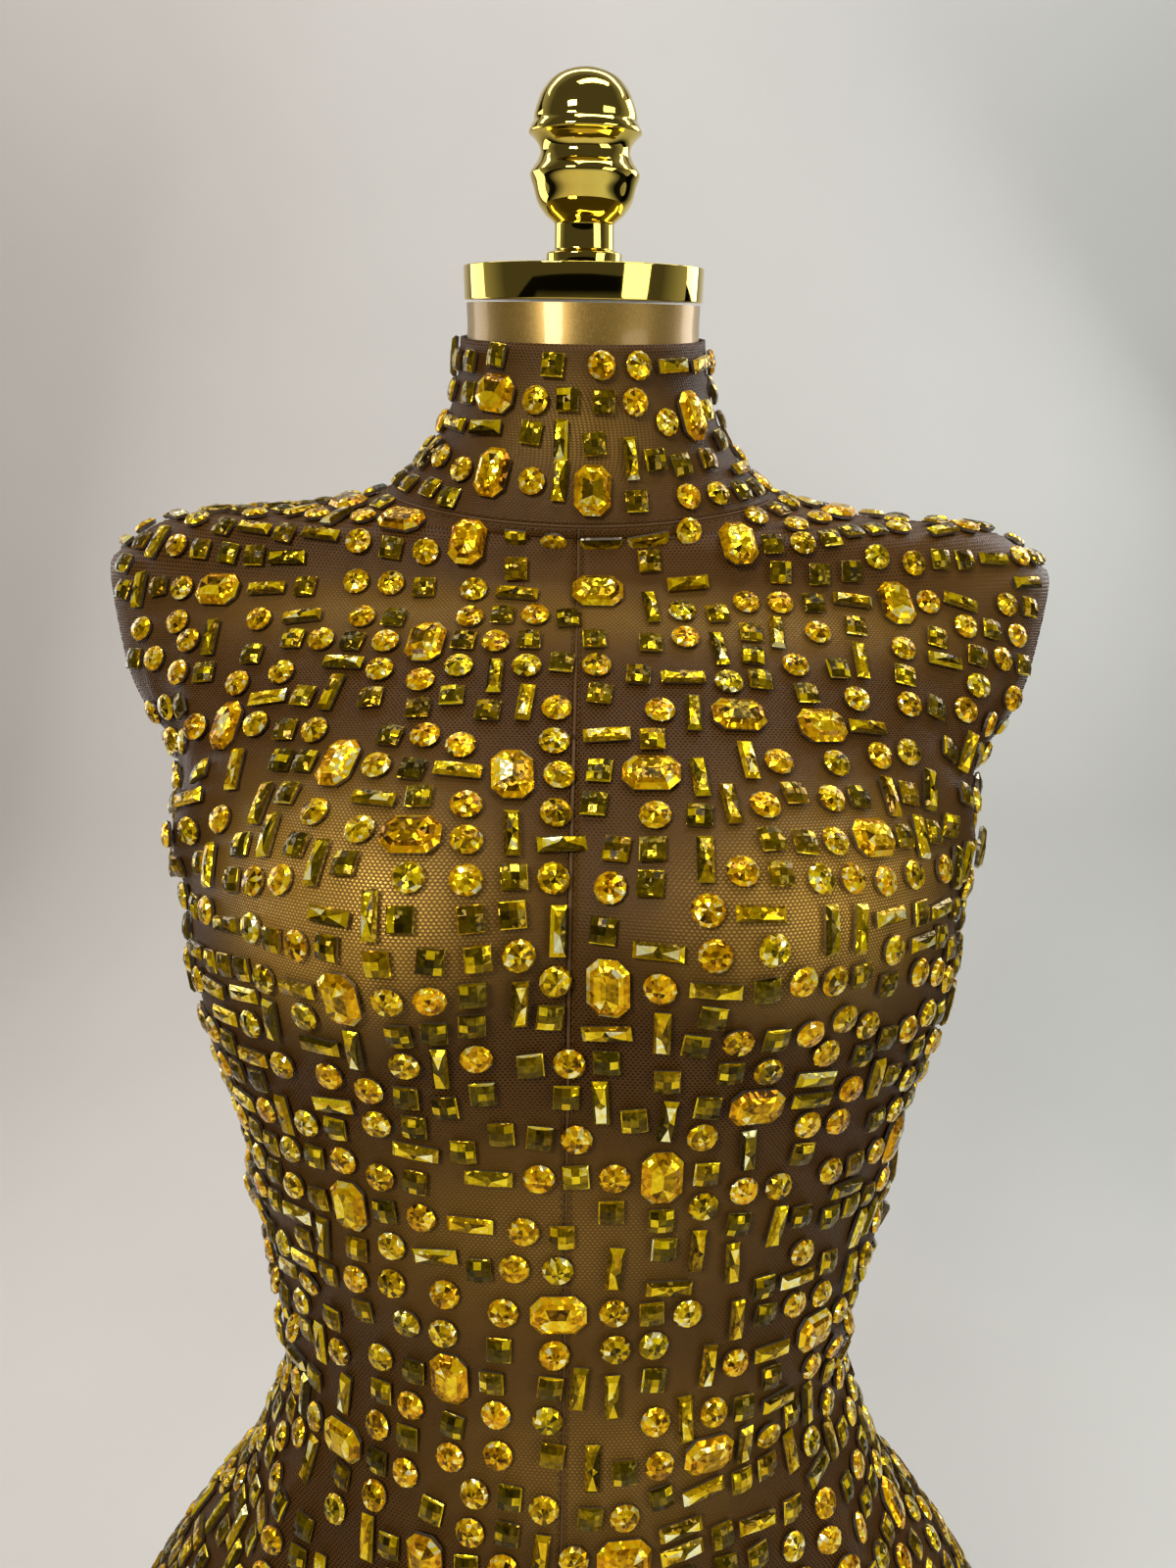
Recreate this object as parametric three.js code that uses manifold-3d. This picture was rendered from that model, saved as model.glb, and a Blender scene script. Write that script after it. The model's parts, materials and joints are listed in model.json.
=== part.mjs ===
// A sleeveless stand-collar stage dress of stretch net, set with large cut-corner stones, on a limbless
// dress form.
// Millimetres, +Z up, the front faces -Y, the origin is on the floor under the middle of the base.
import * as THREE from 'three';
import { mergeVertices } from 'three/addons/utils/BufferGeometryUtils.js';
import Module from 'manifold-3d';

const wasm = await Module();
wasm.setup();

// Rows of values as objects with the columns' names.
function table(columns, rows) {
  return rows.map((row) => Object.fromEntries(columns.map((name, place) => [name, row[place]])));
}

// ---------------------------------------------------------------- driving dimensions

const FORM_EASE = 1.8; // the form's faces stay this far inside the body's surface
const CLOTH_CLEAR = 1.2; // the net's inner face stays this far outside it
const CLOTH_WALL = 1.8;
const SEAM_GAP = 0.3;
const ZIP_WIDTH = 4;
const ZIP_PROUD = 0.6;
const ZIP_BOTTOM_ROW = 5; // the zip ends at the high hip
const ARMHOLE_PROUD = 4; // the net's raw edge stands out past the form's arm face

const FRONT_COLUMNS = 10;
const BACK_COLUMNS = 9;
const COLLAR_COLUMNS = 32;
const FORM_COLUMNS = 36;

const COLLAR_SEAM_ROW = 20;
const COLLAR_TOP_ROW = 23;
const NECK_TOP_ROW = 24;
const SEAM_SHARE = 0.01; // rows left free on each side of the collar seam
const ZIP_SHARE = 0.06; // rows left free under the zip's lower end
const FORM_BOTTOM_ROW = 1.75;

// Arm face: a plane that leans in towards the bottom, at this half width at this height.
const ARM_FACE_HALF = 184;
const ARM_FACE_HEIGHT = 852;
const ARM_FACE_LEAN = 0.42;
const ARM_FACE_LOWEST = 788;
const CUTTER = [100, 300, 400]; // the block that cuts it, wide, deep and tall
const KEPT = 600; // nothing lower is cut: a block this size shields it

const STEP = 1e-3; // the small step that gives the skin's tangents, in radians and in rows
const HALVINGS = 24;
const END_ROOM = 0.05; // rings closer than this to a wall's end row are left out
const MERGE = 1e-5;
const FRONT_MIDDLE = 36; // turns, in degrees, that lie well inside the front and the back panels
const BACK_MIDDLE = 144;
const SIDES = { cap: 36, finial: 20, pole: 24, base: 40 };

// The body from the hem to the top of the neck. front, side and back are the heights of one ring at its
// centre front, sides and centre back; half is its half width; fore and aft are its depths from the side
// points, which are moved back by shift; square is 2 for an ellipse and more for a squarer ring; rings is
// the number of mesh rings up to the next row.
const COLUMNS = ['front', 'side', 'back', 'half', 'fore', 'aft', 'shift', 'square'];
const BODY_ROWS = table(['at', ...COLUMNS, 'rings'], [
  ['hem', 225, 225, 225, 160, 110, 118, 2, 2.15, 2],
  ['thigh', 290, 290, 290, 174, 113, 126, 2, 2.15, 1],
  ['full hip', 355, 355, 355, 184, 112, 130, 2, 2.15, 2],
  ['hip', 410, 410, 410, 183, 107, 126, 2, 2.1, 2],
  ['upper hip', 455, 455, 455, 158, 102, 112, 1, 2.05, 2],
  ['high hip', 490, 490, 490, 132, 98, 96, 0, 2.05, 3],
  ['belly', 520, 520, 520, 119, 94, 85, -1, 2.05, 3],
  ['waist', 550, 550, 550, 109, 91, 79, -2, 2.05, 5],
  ['over waist', 585, 585, 585, 110, 90, 78, -2, 2.1, 5],
  ['low ribs', 620, 620, 620, 118, 92, 82, -2, 2.15, 3],
  ['ribs', 660, 660, 660, 127, 96, 92, -2, 2.25, 2],
  ['under bust', 705, 705, 705, 142, 100, 99, -2, 2.3, 3],
  ['bust', 750, 750, 750, 145, 100, 103, -1, 2.35, 4],
  ['armpit', 792, 792, 792, 160, 90, 98, 10, 1.95, 3],
  ['chest', 824, 824, 826, 200, 84, 80, 27, 1.75, 2],
  ['shoulder end', 846, 857, 850, 202, 68, 64, 30, 1.75, 2],
  ['outer shoulder', 857, 875, 866, 182, 62, 56, 27, 1.8, 2],
  ['mid shoulder', 863, 882, 880, 163, 58, 51, 24, 1.85, 1],
  ['inner shoulder', 867, 885, 892, 118, 53, 50, 20, 1.95, 1],
  ['neck root', 869, 888, 900, 96, 51, 49, 18, 2, 1],
  ['collar seam', 872, 893, 907, 77, 50, 49, 15, 2, 2],
  ['low neck', 890, 910, 927, 59, 48, 48, 14, 2, 2],
  ['mid neck', 912, 931, 950, 49, 47, 47, 12, 2, 1],
  ['collar top', 934, 953, 972, 46, 46, 46, 9, 2, 1],
  ['neck top', 949, 965, 981, 46, 44, 44, 7, 2, 1],
]);

// The bust: two soft rises, wider upwards than downwards, that end at the sides.
const BUST = { apart: 106, height: 743, wide: 48, above: 50, below: 42, rise: 20, sideEnd: 2.2 };

// Folds of the net. turn is degrees round from the centre front (+ towards +X), slant is degrees from
// level, long and wide are half sizes, rise is how far the fold stands off the form.
const FOLDS = table(['at', 'turn', 'height', 'slant', 'long', 'wide', 'rise'], [
  ['left underarm', -58, 768, 38, 46, 8, 5],
  ['left underarm', -57, 790, 55, 36, 8, 4],
  ['right underarm', 60, 772, -42, 46, 8, 5],
  ['right underarm', 60, 796, -58, 32, 8, 4],
  ['left waist', -80, 624, 6, 34, 8, 5],
  ['left waist', -78, 604, -8, 30, 7, 4],
  ['left waist', -82, 585, 4, 36, 7, 6],
  ['left waist', -76, 566, 10, 30, 7, 5],
  ['right waist', 80, 630, -10, 30, 8, 4],
  ['right waist', 78, 610, 5, 34, 8, 6],
  ['right waist', 82, 588, -6, 32, 7, 5],
  ['right waist', 77, 569, -12, 30, 7, 4],
  ['left hip', -54, 506, 80, 26, 9, 5],
  ['right hip', 52, 508, -78, 28, 9, 5],
  ['belly', -18, 606, -24, 60, 12, 2],
  ['belly', 22, 566, 20, 60, 12, 2],
  ['back waist', 150, 600, 8, 40, 8, 5],
  ['back waist', 148, 574, -6, 44, 8, 5],
  ['back waist', -152, 604, -6, 42, 8, 5],
  ['back waist', -149, 578, 8, 42, 8, 5],
  ['back underarm', 122, 778, 40, 40, 8, 4],
  ['back underarm', -122, 776, -40, 40, 8, 4],
]);

// Large cut-corner stones.
const STONE = { long: 18, short: 13, corner: 3.6, tall: 4.2, sunk: 0.9, table: 0.7, clear: 1 };
const FOOT_SHARE = 0.5; // a stone is set only where at least this share of its foot is in the wall

// Where they are set on the front: turn and height as above, up is 1 with the long side upright and 0 level.
const FRONT_STONES = table(['turn', 'height', 'up'], [
  [-37, 920, 0], [50, 915, 1], [-30, 891, 1], [4, 884, 1], [-15, 865, 1],
  [22, 866, 1], [35, 872, 0], [-39, 873, 0], [-72, 883, 0], [77, 883, 0],
  [2, 847, 0], [-44, 848, 0], [37, 846, 1], [-15, 827, 1], [18, 804, 0],
  [29, 801, 0], [-28, 787, 1], [-47, 798, 1], [-7, 785, 1], [9, 786, 0],
  [-18, 768, 0], [37, 767, 0], [-26, 724, 1], [5, 728, 1], [24, 688, 0],
  [13, 664, 1], [60, 656, 1], [-33, 646, 1], [-1, 616, 0], [48, 592, 0],
  [-19, 590, 1], [-43, 552, 0], [25, 563, 0], [-22, 526, 1], [10, 531, 0],
]);
const BACK_STONE_DROP = 9; // the back repeats every second one of them, this much lower
const BACK_STONE_TOP = 860;
const BACK_STONE_END = 179; // degrees round; the collar's stones end sooner
const COLLAR_STONE_END = 172;
// Below the belly the stones follow a loose brick order.
const SKIRT_STONES = { first: -165, lowest: 250, highest: 490, up: 60, around: 60, stagger: 31 };

// The cap lies on the neck's slanted top, clear of it.
const CAP = { radius: 46.5, tall: 12, rim: 1.2, clear: 0.8 };
const PIECE_GAP = 0.3;
const POLE = { radius: 16, collarRadius: 30, collarTall: 14, slope: 4, slopeOut: 6 };
const BASE = { radius: 150, tall: 14, edge: 3 };

// Finial profile: radius and height above the cap, foot to tip.
const FINIAL_PROFILE = [
  [0, 0], [14.6, 0], [14.6, 4.6], [11.5, 5.6], [11.3, 14.5], [14.9, 17.2], [17.8, 21.2], [19.4, 26.4],
  [20.6, 30], [20, 31.7], [18, 34.4], [16.7, 37.4], [17.4, 39.9], [19.4, 42.1], [20.9, 43.4], [20.2, 45.3],
  [19.1, 47], [18.8, 49.4], [17.7, 52.6], [15.6, 56.6], [11.8, 60.4], [6.2, 62.9], [0, 63.6],
];

// ---------------------------------------------------------------- materials

const netMaterial = new THREE.MeshStandardMaterial({ color: 0x4e3823, roughness: 0.75, metalness: 0 });
const zipMaterial = new THREE.MeshStandardMaterial({ color: 0x3a2a1c, roughness: 0.6, metalness: 0 });
const goldPaint = new THREE.MeshStandardMaterial({ color: 0xb08a45, roughness: 0.3, metalness: 0.8 });
const brass = new THREE.MeshStandardMaterial({ color: 0xd8b040, roughness: 0.12, metalness: 1 });
const steel = new THREE.MeshStandardMaterial({ color: 0xb8b8ba, roughness: 0.3, metalness: 1 });

// ---------------------------------------------------------------- the body's surface

const LAST_ROW = BODY_ROWS.length - 1;
const radians = THREE.MathUtils.degToRad;

// One column of the table at a fractional row, on a smooth curve through the rows.
function smoothColumn(name, row) {
  const low = Math.min(Math.floor(row), LAST_ROW - 1);
  const w = row - low;
  const p1 = BODY_ROWS[low][name];
  const p2 = BODY_ROWS[low + 1][name];
  const p0 = low > 0 ? BODY_ROWS[low - 1][name] : 2 * p1 - p2;
  const p3 = low + 2 <= LAST_ROW ? BODY_ROWS[low + 2][name] : 2 * p2 - p1;
  return p1 + 0.5 * w * (p2 - p0 + w * (2 * p0 - 5 * p1 + 4 * p2 - p3 + w * (3 * (p1 - p2) + p3 - p0)));
}

function bodyRow(row) {
  const clamped = Math.min(Math.max(row, 0), LAST_ROW);
  return Object.fromEntries(COLUMNS.map((name) => [name, smoothColumn(name, clamped)]));
}

function bell(distance, half) {
  return Math.exp(-((distance / half) ** 2));
}

// A point of the form's skin. turn is radians round from the centre front.
function skinPoint(turn, row) {
  const ring = bodyRow(row);
  const s = Math.sin(turn);
  const c = Math.cos(turn);
  const n = ring.square;
  const reach = (Math.abs(s) ** n + Math.abs(c) ** n) ** (-1 / n);
  const x = ring.half * reach * s;
  const bow = 0.5 * (ring.front + ring.back) - ring.side;
  const z = ring.side - 0.5 * (ring.back - ring.front) * c + bow * c * c;
  const lobe = bell(Math.abs(x) - BUST.apart / 2, BUST.wide)
    * bell(z - BUST.height, z > BUST.height ? BUST.above : BUST.below);
  const rise = BUST.rise * lobe * THREE.MathUtils.clamp(BUST.sideEnd * c, 0, 1);
  const y = ring.shift - (c > 0 ? ring.fore : ring.aft) * reach * c - rise;
  return new THREE.Vector3(x, y, z);
}

// The skin's tangents and outward normal, by small steps either way.
function skinFrame(turn, row) {
  const around = skinPoint(turn + STEP, row).sub(skinPoint(turn - STEP, row)).divideScalar(2 * STEP);
  const low = Math.max(row - STEP, 0);
  const high = Math.min(row + STEP, LAST_ROW);
  const up = skinPoint(turn, high).sub(skinPoint(turn, low)).divideScalar(high - low);
  const normal = new THREE.Vector3().crossVectors(around, up).normalize();
  return { around, up, normal };
}

function wrapTurn(turn) {
  return Math.atan2(Math.sin(turn), Math.cos(turn));
}

// How far the folds lift the net at a point of the skin.
function foldRise(turn, row, height) {
  const ring = bodyRow(row);
  const girth = (ring.half + 0.5 * (ring.fore + ring.aft)) / 2;
  let rise = 0;
  for (const fold of FOLDS) {
    const across = wrapTurn(turn - radians(fold.turn)) * girth;
    const upward = height - fold.height;
    const slant = radians(fold.slant);
    const along = across * Math.cos(slant) + upward * Math.sin(slant);
    const aside = upward * Math.cos(slant) - across * Math.sin(slant);
    rise += fold.rise * bell(aside, fold.wide) * bell(along, fold.long);
  }
  return rise;
}

// A point of the net: out is measured from its inner face.
function clothPoint(turn, row, out) {
  const point = skinPoint(turn, row);
  const lift = CLOTH_CLEAR + foldRise(turn, row, point.z) + out;
  return point.addScaledVector(skinFrame(turn, row).normal, lift);
}

function armFace(height) {
  return ARM_FACE_HALF - ARM_FACE_LEAN * (ARM_FACE_HEIGHT - height);
}

// ---------------------------------------------------------------- shells

function indexedGeometry(points, index) {
  const geometry = new THREE.BufferGeometry();
  geometry.setAttribute('position', new THREE.Float32BufferAttribute(points.flatMap((p) => p.toArray()), 3));
  geometry.setIndex(index);
  return geometry;
}

// A closed wall from two grids of points, outer and inner, [row][column].
function wallGeometry(outer, inner) {
  const rows = outer.length;
  const columns = outer[0].length;
  const points = [...outer.flat(), ...inner.flat()];
  const half = rows * columns;
  const index = [];
  const quad = (a, b, c, d) => index.push(a, b, c, a, c, d);
  const at = (row, column) => row * columns + column;
  for (let row = 0; row < rows - 1; row += 1) {
    for (let column = 0; column < columns - 1; column += 1) {
      const corners = [at(row, column), at(row, column + 1), at(row + 1, column + 1), at(row + 1, column)];
      quad(...corners);
      quad(...corners.map((corner) => corner + half).reverse());
    }
  }
  for (let column = 0; column < columns - 1; column += 1) {
    quad(at(0, column + 1), at(0, column), at(0, column) + half, at(0, column + 1) + half);
    const top = rows - 1;
    quad(at(top, column), at(top, column + 1), at(top, column + 1) + half, at(top, column) + half);
  }
  for (let row = 0; row < rows - 1; row += 1) {
    quad(at(row, 0), at(row + 1, 0), at(row + 1, 0) + half, at(row, 0) + half);
    const end = columns - 1;
    quad(at(row + 1, end), at(row, end), at(row, end) + half, at(row + 1, end) + half);
  }
  return indexedGeometry(points, index);
}

// Mesh rows from one table row to another, spaced as the rings column says, or every so many of those rings.
function meshRows(first, last, every = 1) {
  const rows = [first];
  for (let low = Math.floor(first); low < last; low += 1) {
    const rings = Math.ceil(BODY_ROWS[low].rings / every);
    for (let ring = 1; ring <= rings; ring += 1) {
      const row = low + ring / rings;
      if (row > first + END_ROOM && row < last - END_ROOM) {
        rows.push(row);
      }
    }
  }
  rows.push(last);
  return rows;
}

// Half the gap at the centre back: a plain seam below the zip, the zip's room above it.
function backOpening(row) {
  return row < ZIP_BOTTOM_ROW ? SEAM_GAP / 2 : ZIP_WIDTH / 2 + SEAM_GAP;
}

// The turn at which the net meets the arm face, or the side seam where it doesn't.
function armholeTurn(row, side, from, sideTurn) {
  const past = (turn) => {
    const edge = clothPoint(side * turn, row, CLOTH_WALL);
    return edge.z > ARM_FACE_LOWEST && side * edge.x > armFace(edge.z) + ARMHOLE_PROUD;
  };
  if (!past(sideTurn)) {
    return sideTurn;
  }
  let near = from;
  let far = sideTurn;
  for (let halving = 0; halving < HALVINGS; halving += 1) {
    const middle = (near + far) / 2;
    if (past(middle)) {
      far = middle;
    } else {
      near = middle;
    }
  }
  return near;
}

// One body panel, from its centre edge to the side seam or armhole. side is 1 for the +X half and -1 for
// the other.
function panelWall(isFront, side) {
  const rows = meshRows(0, COLLAR_SEAM_ROW - SEAM_SHARE);
  const columns = isFront ? FRONT_COLUMNS : BACK_COLUMNS;
  const grid = (out) => rows.map((row) => {
    const ring = bodyRow(row);
    const seamTurn = SEAM_GAP / 2 / ((ring.fore + ring.aft) / 2);
    const centreGap = isFront ? SEAM_GAP / 2 : backOpening(row);
    const centreTurn = isFront ? centreGap / ring.half : Math.PI - centreGap / ring.half;
    const middleTurn = radians(isFront ? FRONT_MIDDLE : BACK_MIDDLE);
    const sideTurn = armholeTurn(row, side, middleTurn, Math.PI / 2 + (isFront ? -seamTurn : seamTurn));
    const [start, end] = isFront ? [centreTurn, sideTurn] : [sideTurn, centreTurn];
    const points = Array.from({ length: columns + 1 }, (_, column) => {
      const turn = start + ((end - start) * column) / columns;
      const point = clothPoint(side * turn, row, out);
      point.x = side * Math.max(side * point.x, centreGap);
      return point;
    });
    return side > 0 ? points : points.reverse();
  });
  return wallGeometry(grid(CLOTH_WALL), grid(0));
}

function collarWall() {
  const rows = meshRows(COLLAR_SEAM_ROW + SEAM_SHARE, COLLAR_TOP_ROW);
  const grid = (out) => rows.map((row) => {
    const end = Math.PI - (ZIP_WIDTH / 2 + SEAM_GAP) / bodyRow(row).half;
    return Array.from({ length: COLLAR_COLUMNS + 1 }, (_, column) => {
      const turn = -end + (2 * end * column) / COLLAR_COLUMNS;
      return clothPoint(turn, row, out);
    });
  });
  return wallGeometry(grid(CLOTH_WALL), grid(0));
}

function zipWall() {
  const rows = meshRows(ZIP_BOTTOM_ROW + ZIP_SHARE, COLLAR_TOP_ROW);
  const grid = (out) => rows.map((row) => [-1, 0, 1].map((side) => {
    const point = clothPoint(Math.PI + (side * ZIP_WIDTH) / 2 / bodyRow(row).half, row, out);
    point.x = (-side * ZIP_WIDTH) / 2;
    return point;
  }));
  return wallGeometry(grid(CLOTH_WALL + ZIP_PROUD), grid(0));
}

// ---------------------------------------------------------------- solids

function toSolid(geometry) {
  const bare = geometry.clone();
  bare.deleteAttribute('normal');
  bare.deleteAttribute('uv');
  const merged = mergeVertices(bare, MERGE);
  return new wasm.Manifold(new wasm.Mesh({
    numProp: 3,
    vertProperties: new Float32Array(merged.attributes.position.array),
    triVerts: new Uint32Array(merged.index.array),
  }));
}

function toGeometry(solid) {
  const mesh = solid.getMesh();
  const geometry = new THREE.BufferGeometry();
  geometry.setAttribute('position', new THREE.BufferAttribute(new Float32Array(mesh.vertProperties), 3));
  geometry.setIndex(new THREE.BufferAttribute(new Uint32Array(mesh.triVerts), 1));
  return geometry;
}

// Mirrors a geometry to the other side and keeps its faces pointing out.
function mirrored(geometry) {
  const copy = geometry.clone();
  copy.scale(-1, 1, 1);
  const index = copy.index.array;
  for (let start = 0; start < index.length; start += 3) {
    [index[start], index[start + 1]] = [index[start + 1], index[start]];
  }
  return copy;
}

// The row at which the skin has a given height at a given turn, found by halving.
function rowAtHeight(turn, height) {
  let low = 0;
  let high = LAST_ROW;
  for (let halving = 0; halving < HALVINGS; halving += 1) {
    const middle = (low + high) / 2;
    if (skinPoint(turn, middle).z < height) {
      low = middle;
    } else {
      high = middle;
    }
  }
  return (low + high) / 2;
}

// A cut-corner stone: two eight-sided outlines laid on the net's own points, one sunk in it and one
// standing proud.
function stoneGeometry({ turn, height, up }) {
  const turnAt = radians(turn);
  const row = rowAtHeight(turnAt, height);
  const frame = skinFrame(turnAt, row);
  const halfAround = (up ? STONE.short : STONE.long) / 2;
  const halfUp = (up ? STONE.long : STONE.short) / 2;
  const outline = [
    [halfAround, halfUp - STONE.corner], [halfAround - STONE.corner, halfUp],
    [STONE.corner - halfAround, halfUp], [-halfAround, halfUp - STONE.corner],
    [-halfAround, STONE.corner - halfUp], [STONE.corner - halfAround, -halfUp],
    [halfAround - STONE.corner, -halfUp], [halfAround, STONE.corner - halfUp],
  ];
  const ringAt = (scale, out) => outline.map(([around, upward]) => clothPoint(
    turnAt + (scale * around) / frame.around.length(),
    row + (scale * upward) / frame.up.length(),
    out,
  ));
  const points = [...ringAt(1, CLOTH_WALL - STONE.sunk), ...ringAt(STONE.table, CLOTH_WALL + STONE.tall)];
  const corners = outline.length;
  const index = [];
  for (let corner = 0; corner < corners; corner += 1) {
    const next = (corner + 1) % corners;
    index.push(corner, next, next + corners, corner, next + corners, corner + corners);
  }
  for (let corner = 1; corner < corners - 1; corner += 1) {
    index.push(0, corner + 1, corner);
    index.push(corners, corners + corner, corners + corner + 1);
  }
  return indexedGeometry(points, index);
}

// Every large stone's place: the front's list, the same ones round the back, and the skirt's brick order.
function stonePlaces() {
  const places = [...FRONT_STONES];
  for (const { turn, height, up } of FRONT_STONES.filter((_, place) => place % 2 === 0)) {
    if (height < BACK_STONE_TOP) {
      places.push({ turn: 180 - turn, height: height - BACK_STONE_DROP, up: 1 - up });
    }
  }
  let course = 0;
  for (let height = SKIRT_STONES.lowest; height <= SKIRT_STONES.highest; height += SKIRT_STONES.up) {
    const first = SKIRT_STONES.first + (course % 2) * SKIRT_STONES.stagger;
    for (let turn = first; turn < first + 360; turn += SKIRT_STONES.around) {
      places.push({ turn, height, up: (course + Math.round(turn / SKIRT_STONES.around)) & 1 });
    }
    course += 1;
  }
  const within = (turn) => THREE.MathUtils.euclideanModulo(turn + 180, 360) - 180;
  return places.map((place) => ({ ...place, turn: within(place.turn) }));
}

// Whether a stone lies wholly on the panel between two turns (degrees) and below or above the collar seam.
function liesOn({ turn, height, up }, low, high, isCollar) {
  const row = rowAtHeight(radians(turn), height);
  const frame = skinFrame(radians(turn), row);
  const reachTurn = THREE.MathUtils.radToDeg((STONE.long / 2) / frame.around.length());
  const reachRow = ((up ? STONE.long : STONE.short) / 2 + STONE.clear) / frame.up.length();
  const above = row - reachRow > COLLAR_SEAM_ROW && row + reachRow < COLLAR_TOP_ROW;
  const below = row + reachRow < COLLAR_SEAM_ROW;
  return turn - reachTurn > low && turn + reachTurn < high && (isCollar ? above : below);
}

// A wall with its stones raised in it.
function withStones(wall, low, high, isCollar) {
  let solid = toSolid(wall);
  for (const place of stonePlaces()) {
    if (liesOn(place, low, high, isCollar)) {
      const stone = toSolid(stoneGeometry(place));
      const shared = solid.intersect(stone);
      if (shared.volume() > FOOT_SHARE * STONE.long * STONE.short * STONE.sunk) {
        solid = solid.add(stone);
      }
    }
  }
  return toGeometry(solid);
}

// The dress form: rings closed by a flat bottom and a flat top, with both arm faces cut off.
function formGeometry() {
  const rows = meshRows(FORM_BOTTOM_ROW, NECK_TOP_ROW, 2);
  const points = [];
  for (const row of rows) {
    for (let column = 0; column < FORM_COLUMNS; column += 1) {
      const turn = -Math.PI + (2 * Math.PI * column) / FORM_COLUMNS;
      points.push(skinPoint(turn, row).addScaledVector(skinFrame(turn, row).normal, -FORM_EASE));
    }
  }
  const centre = (row) => {
    const ring = bodyRow(row);
    return new THREE.Vector3(0, ring.shift + (ring.aft - ring.fore) / 2, (ring.front + ring.back) / 2);
  };
  points.push(centre(FORM_BOTTOM_ROW), centre(NECK_TOP_ROW));
  const [foot, head] = [points.length - 2, points.length - 1];
  const index = [];
  const topStart = (rows.length - 1) * FORM_COLUMNS;
  for (let column = 0; column < FORM_COLUMNS; column += 1) {
    const next = (column + 1) % FORM_COLUMNS;
    for (let ring = 0; ring < rows.length - 1; ring += 1) {
      const here = ring * FORM_COLUMNS;
      const above = here + FORM_COLUMNS;
      index.push(here + column, here + next, above + next, here + column, above + next, above + column);
    }
    index.push(foot, next, column, head, topStart + column, topStart + next);
  }
  let solid = toSolid(indexedGeometry(points, index));
  const cutter = new THREE.BoxGeometry(...CUTTER);
  cutter.translate(CUTTER[0] / 2, 0, 0);
  cutter.rotateY(Math.atan(ARM_FACE_LEAN));
  cutter.translate(ARM_FACE_HALF, 0, ARM_FACE_HEIGHT);
  const keepBelow = new THREE.BoxGeometry(KEPT, KEPT, KEPT);
  keepBelow.translate(0, 0, ARM_FACE_LOWEST - KEPT / 2);
  const armCut = toSolid(cutter).subtract(toSolid(keepBelow));
  const otherCut = toSolid(mirrored(toGeometry(armCut)));
  solid = solid.subtract(armCut).subtract(otherCut);
  return toGeometry(solid);
}

function turned(profile, sides) {
  return new THREE.LatheGeometry(profile.map(([radius, height]) => new THREE.Vector2(radius, height)), sides)
    .rotateX(Math.PI / 2);
}

function chamfered(radius, tall, edge) {
  return [
    [0, 0], [radius - edge, 0], [radius, edge], [radius, tall - edge], [radius - edge, tall], [0, tall],
  ];
}

// ---------------------------------------------------------------- the part

const dress = new THREE.Group();

function addMesh(parent, name, geometry, material) {
  const mesh = new THREE.Mesh(geometry, material);
  mesh.name = name;
  parent.add(mesh);
  return mesh;
}

addMesh(dress, 'front_right', withStones(panelWall(true, 1), 0, 90, false), netMaterial);
addMesh(dress, 'front_left', withStones(panelWall(true, -1), -90, 0, false), netMaterial);
addMesh(dress, 'back_right', withStones(panelWall(false, 1), 90, BACK_STONE_END, false), netMaterial);
addMesh(dress, 'back_left', withStones(panelWall(false, -1), -BACK_STONE_END, -90, false), netMaterial);
addMesh(dress, 'collar', withStones(collarWall(), -COLLAR_STONE_END, COLLAR_STONE_END, true), netMaterial);
addMesh(dress, 'back_zip', zipWall(), zipMaterial);

addMesh(dress, 'form_torso', formGeometry(), goldPaint);

const neckTop = bodyRow(NECK_TOP_ROW);
const capGroup = new THREE.Group();
capGroup.position.set(0, neckTop.shift, neckTop.side);
capGroup.rotation.x = Math.atan((neckTop.back - neckTop.front) / (neckTop.fore + neckTop.aft));
const cap = addMesh(capGroup, 'neck_cap', turned(chamfered(CAP.radius, CAP.tall, CAP.rim), SIDES.cap), brass);
cap.position.z = CAP.clear;
const finial = addMesh(capGroup, 'finial', turned(FINIAL_PROFILE, SIDES.finial), brass);
finial.position.z = cap.position.z + CAP.tall + PIECE_GAP;
dress.add(capGroup);

const formBottom = bodyRow(FORM_BOTTOM_ROW).side;
const poleTall = formBottom - BASE.tall - 2 * PIECE_GAP;
const poleProfile = [
  [0, 0], [POLE.collarRadius, 0], [POLE.collarRadius, POLE.collarTall - POLE.slope],
  [POLE.radius + POLE.slopeOut, POLE.collarTall], [POLE.radius, POLE.collarTall],
  [POLE.radius, poleTall], [0, poleTall],
];
addMesh(dress, 'pole', turned(poleProfile, SIDES.pole), steel).position.z = BASE.tall + PIECE_GAP;
addMesh(dress, 'base', turned(chamfered(BASE.radius, BASE.tall, BASE.edge), SIDES.base), steel);

export default dress;
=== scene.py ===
import itertools
import json
import math

import bmesh
import bpy
import numpy as np
from mathutils import Matrix, Vector

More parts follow.
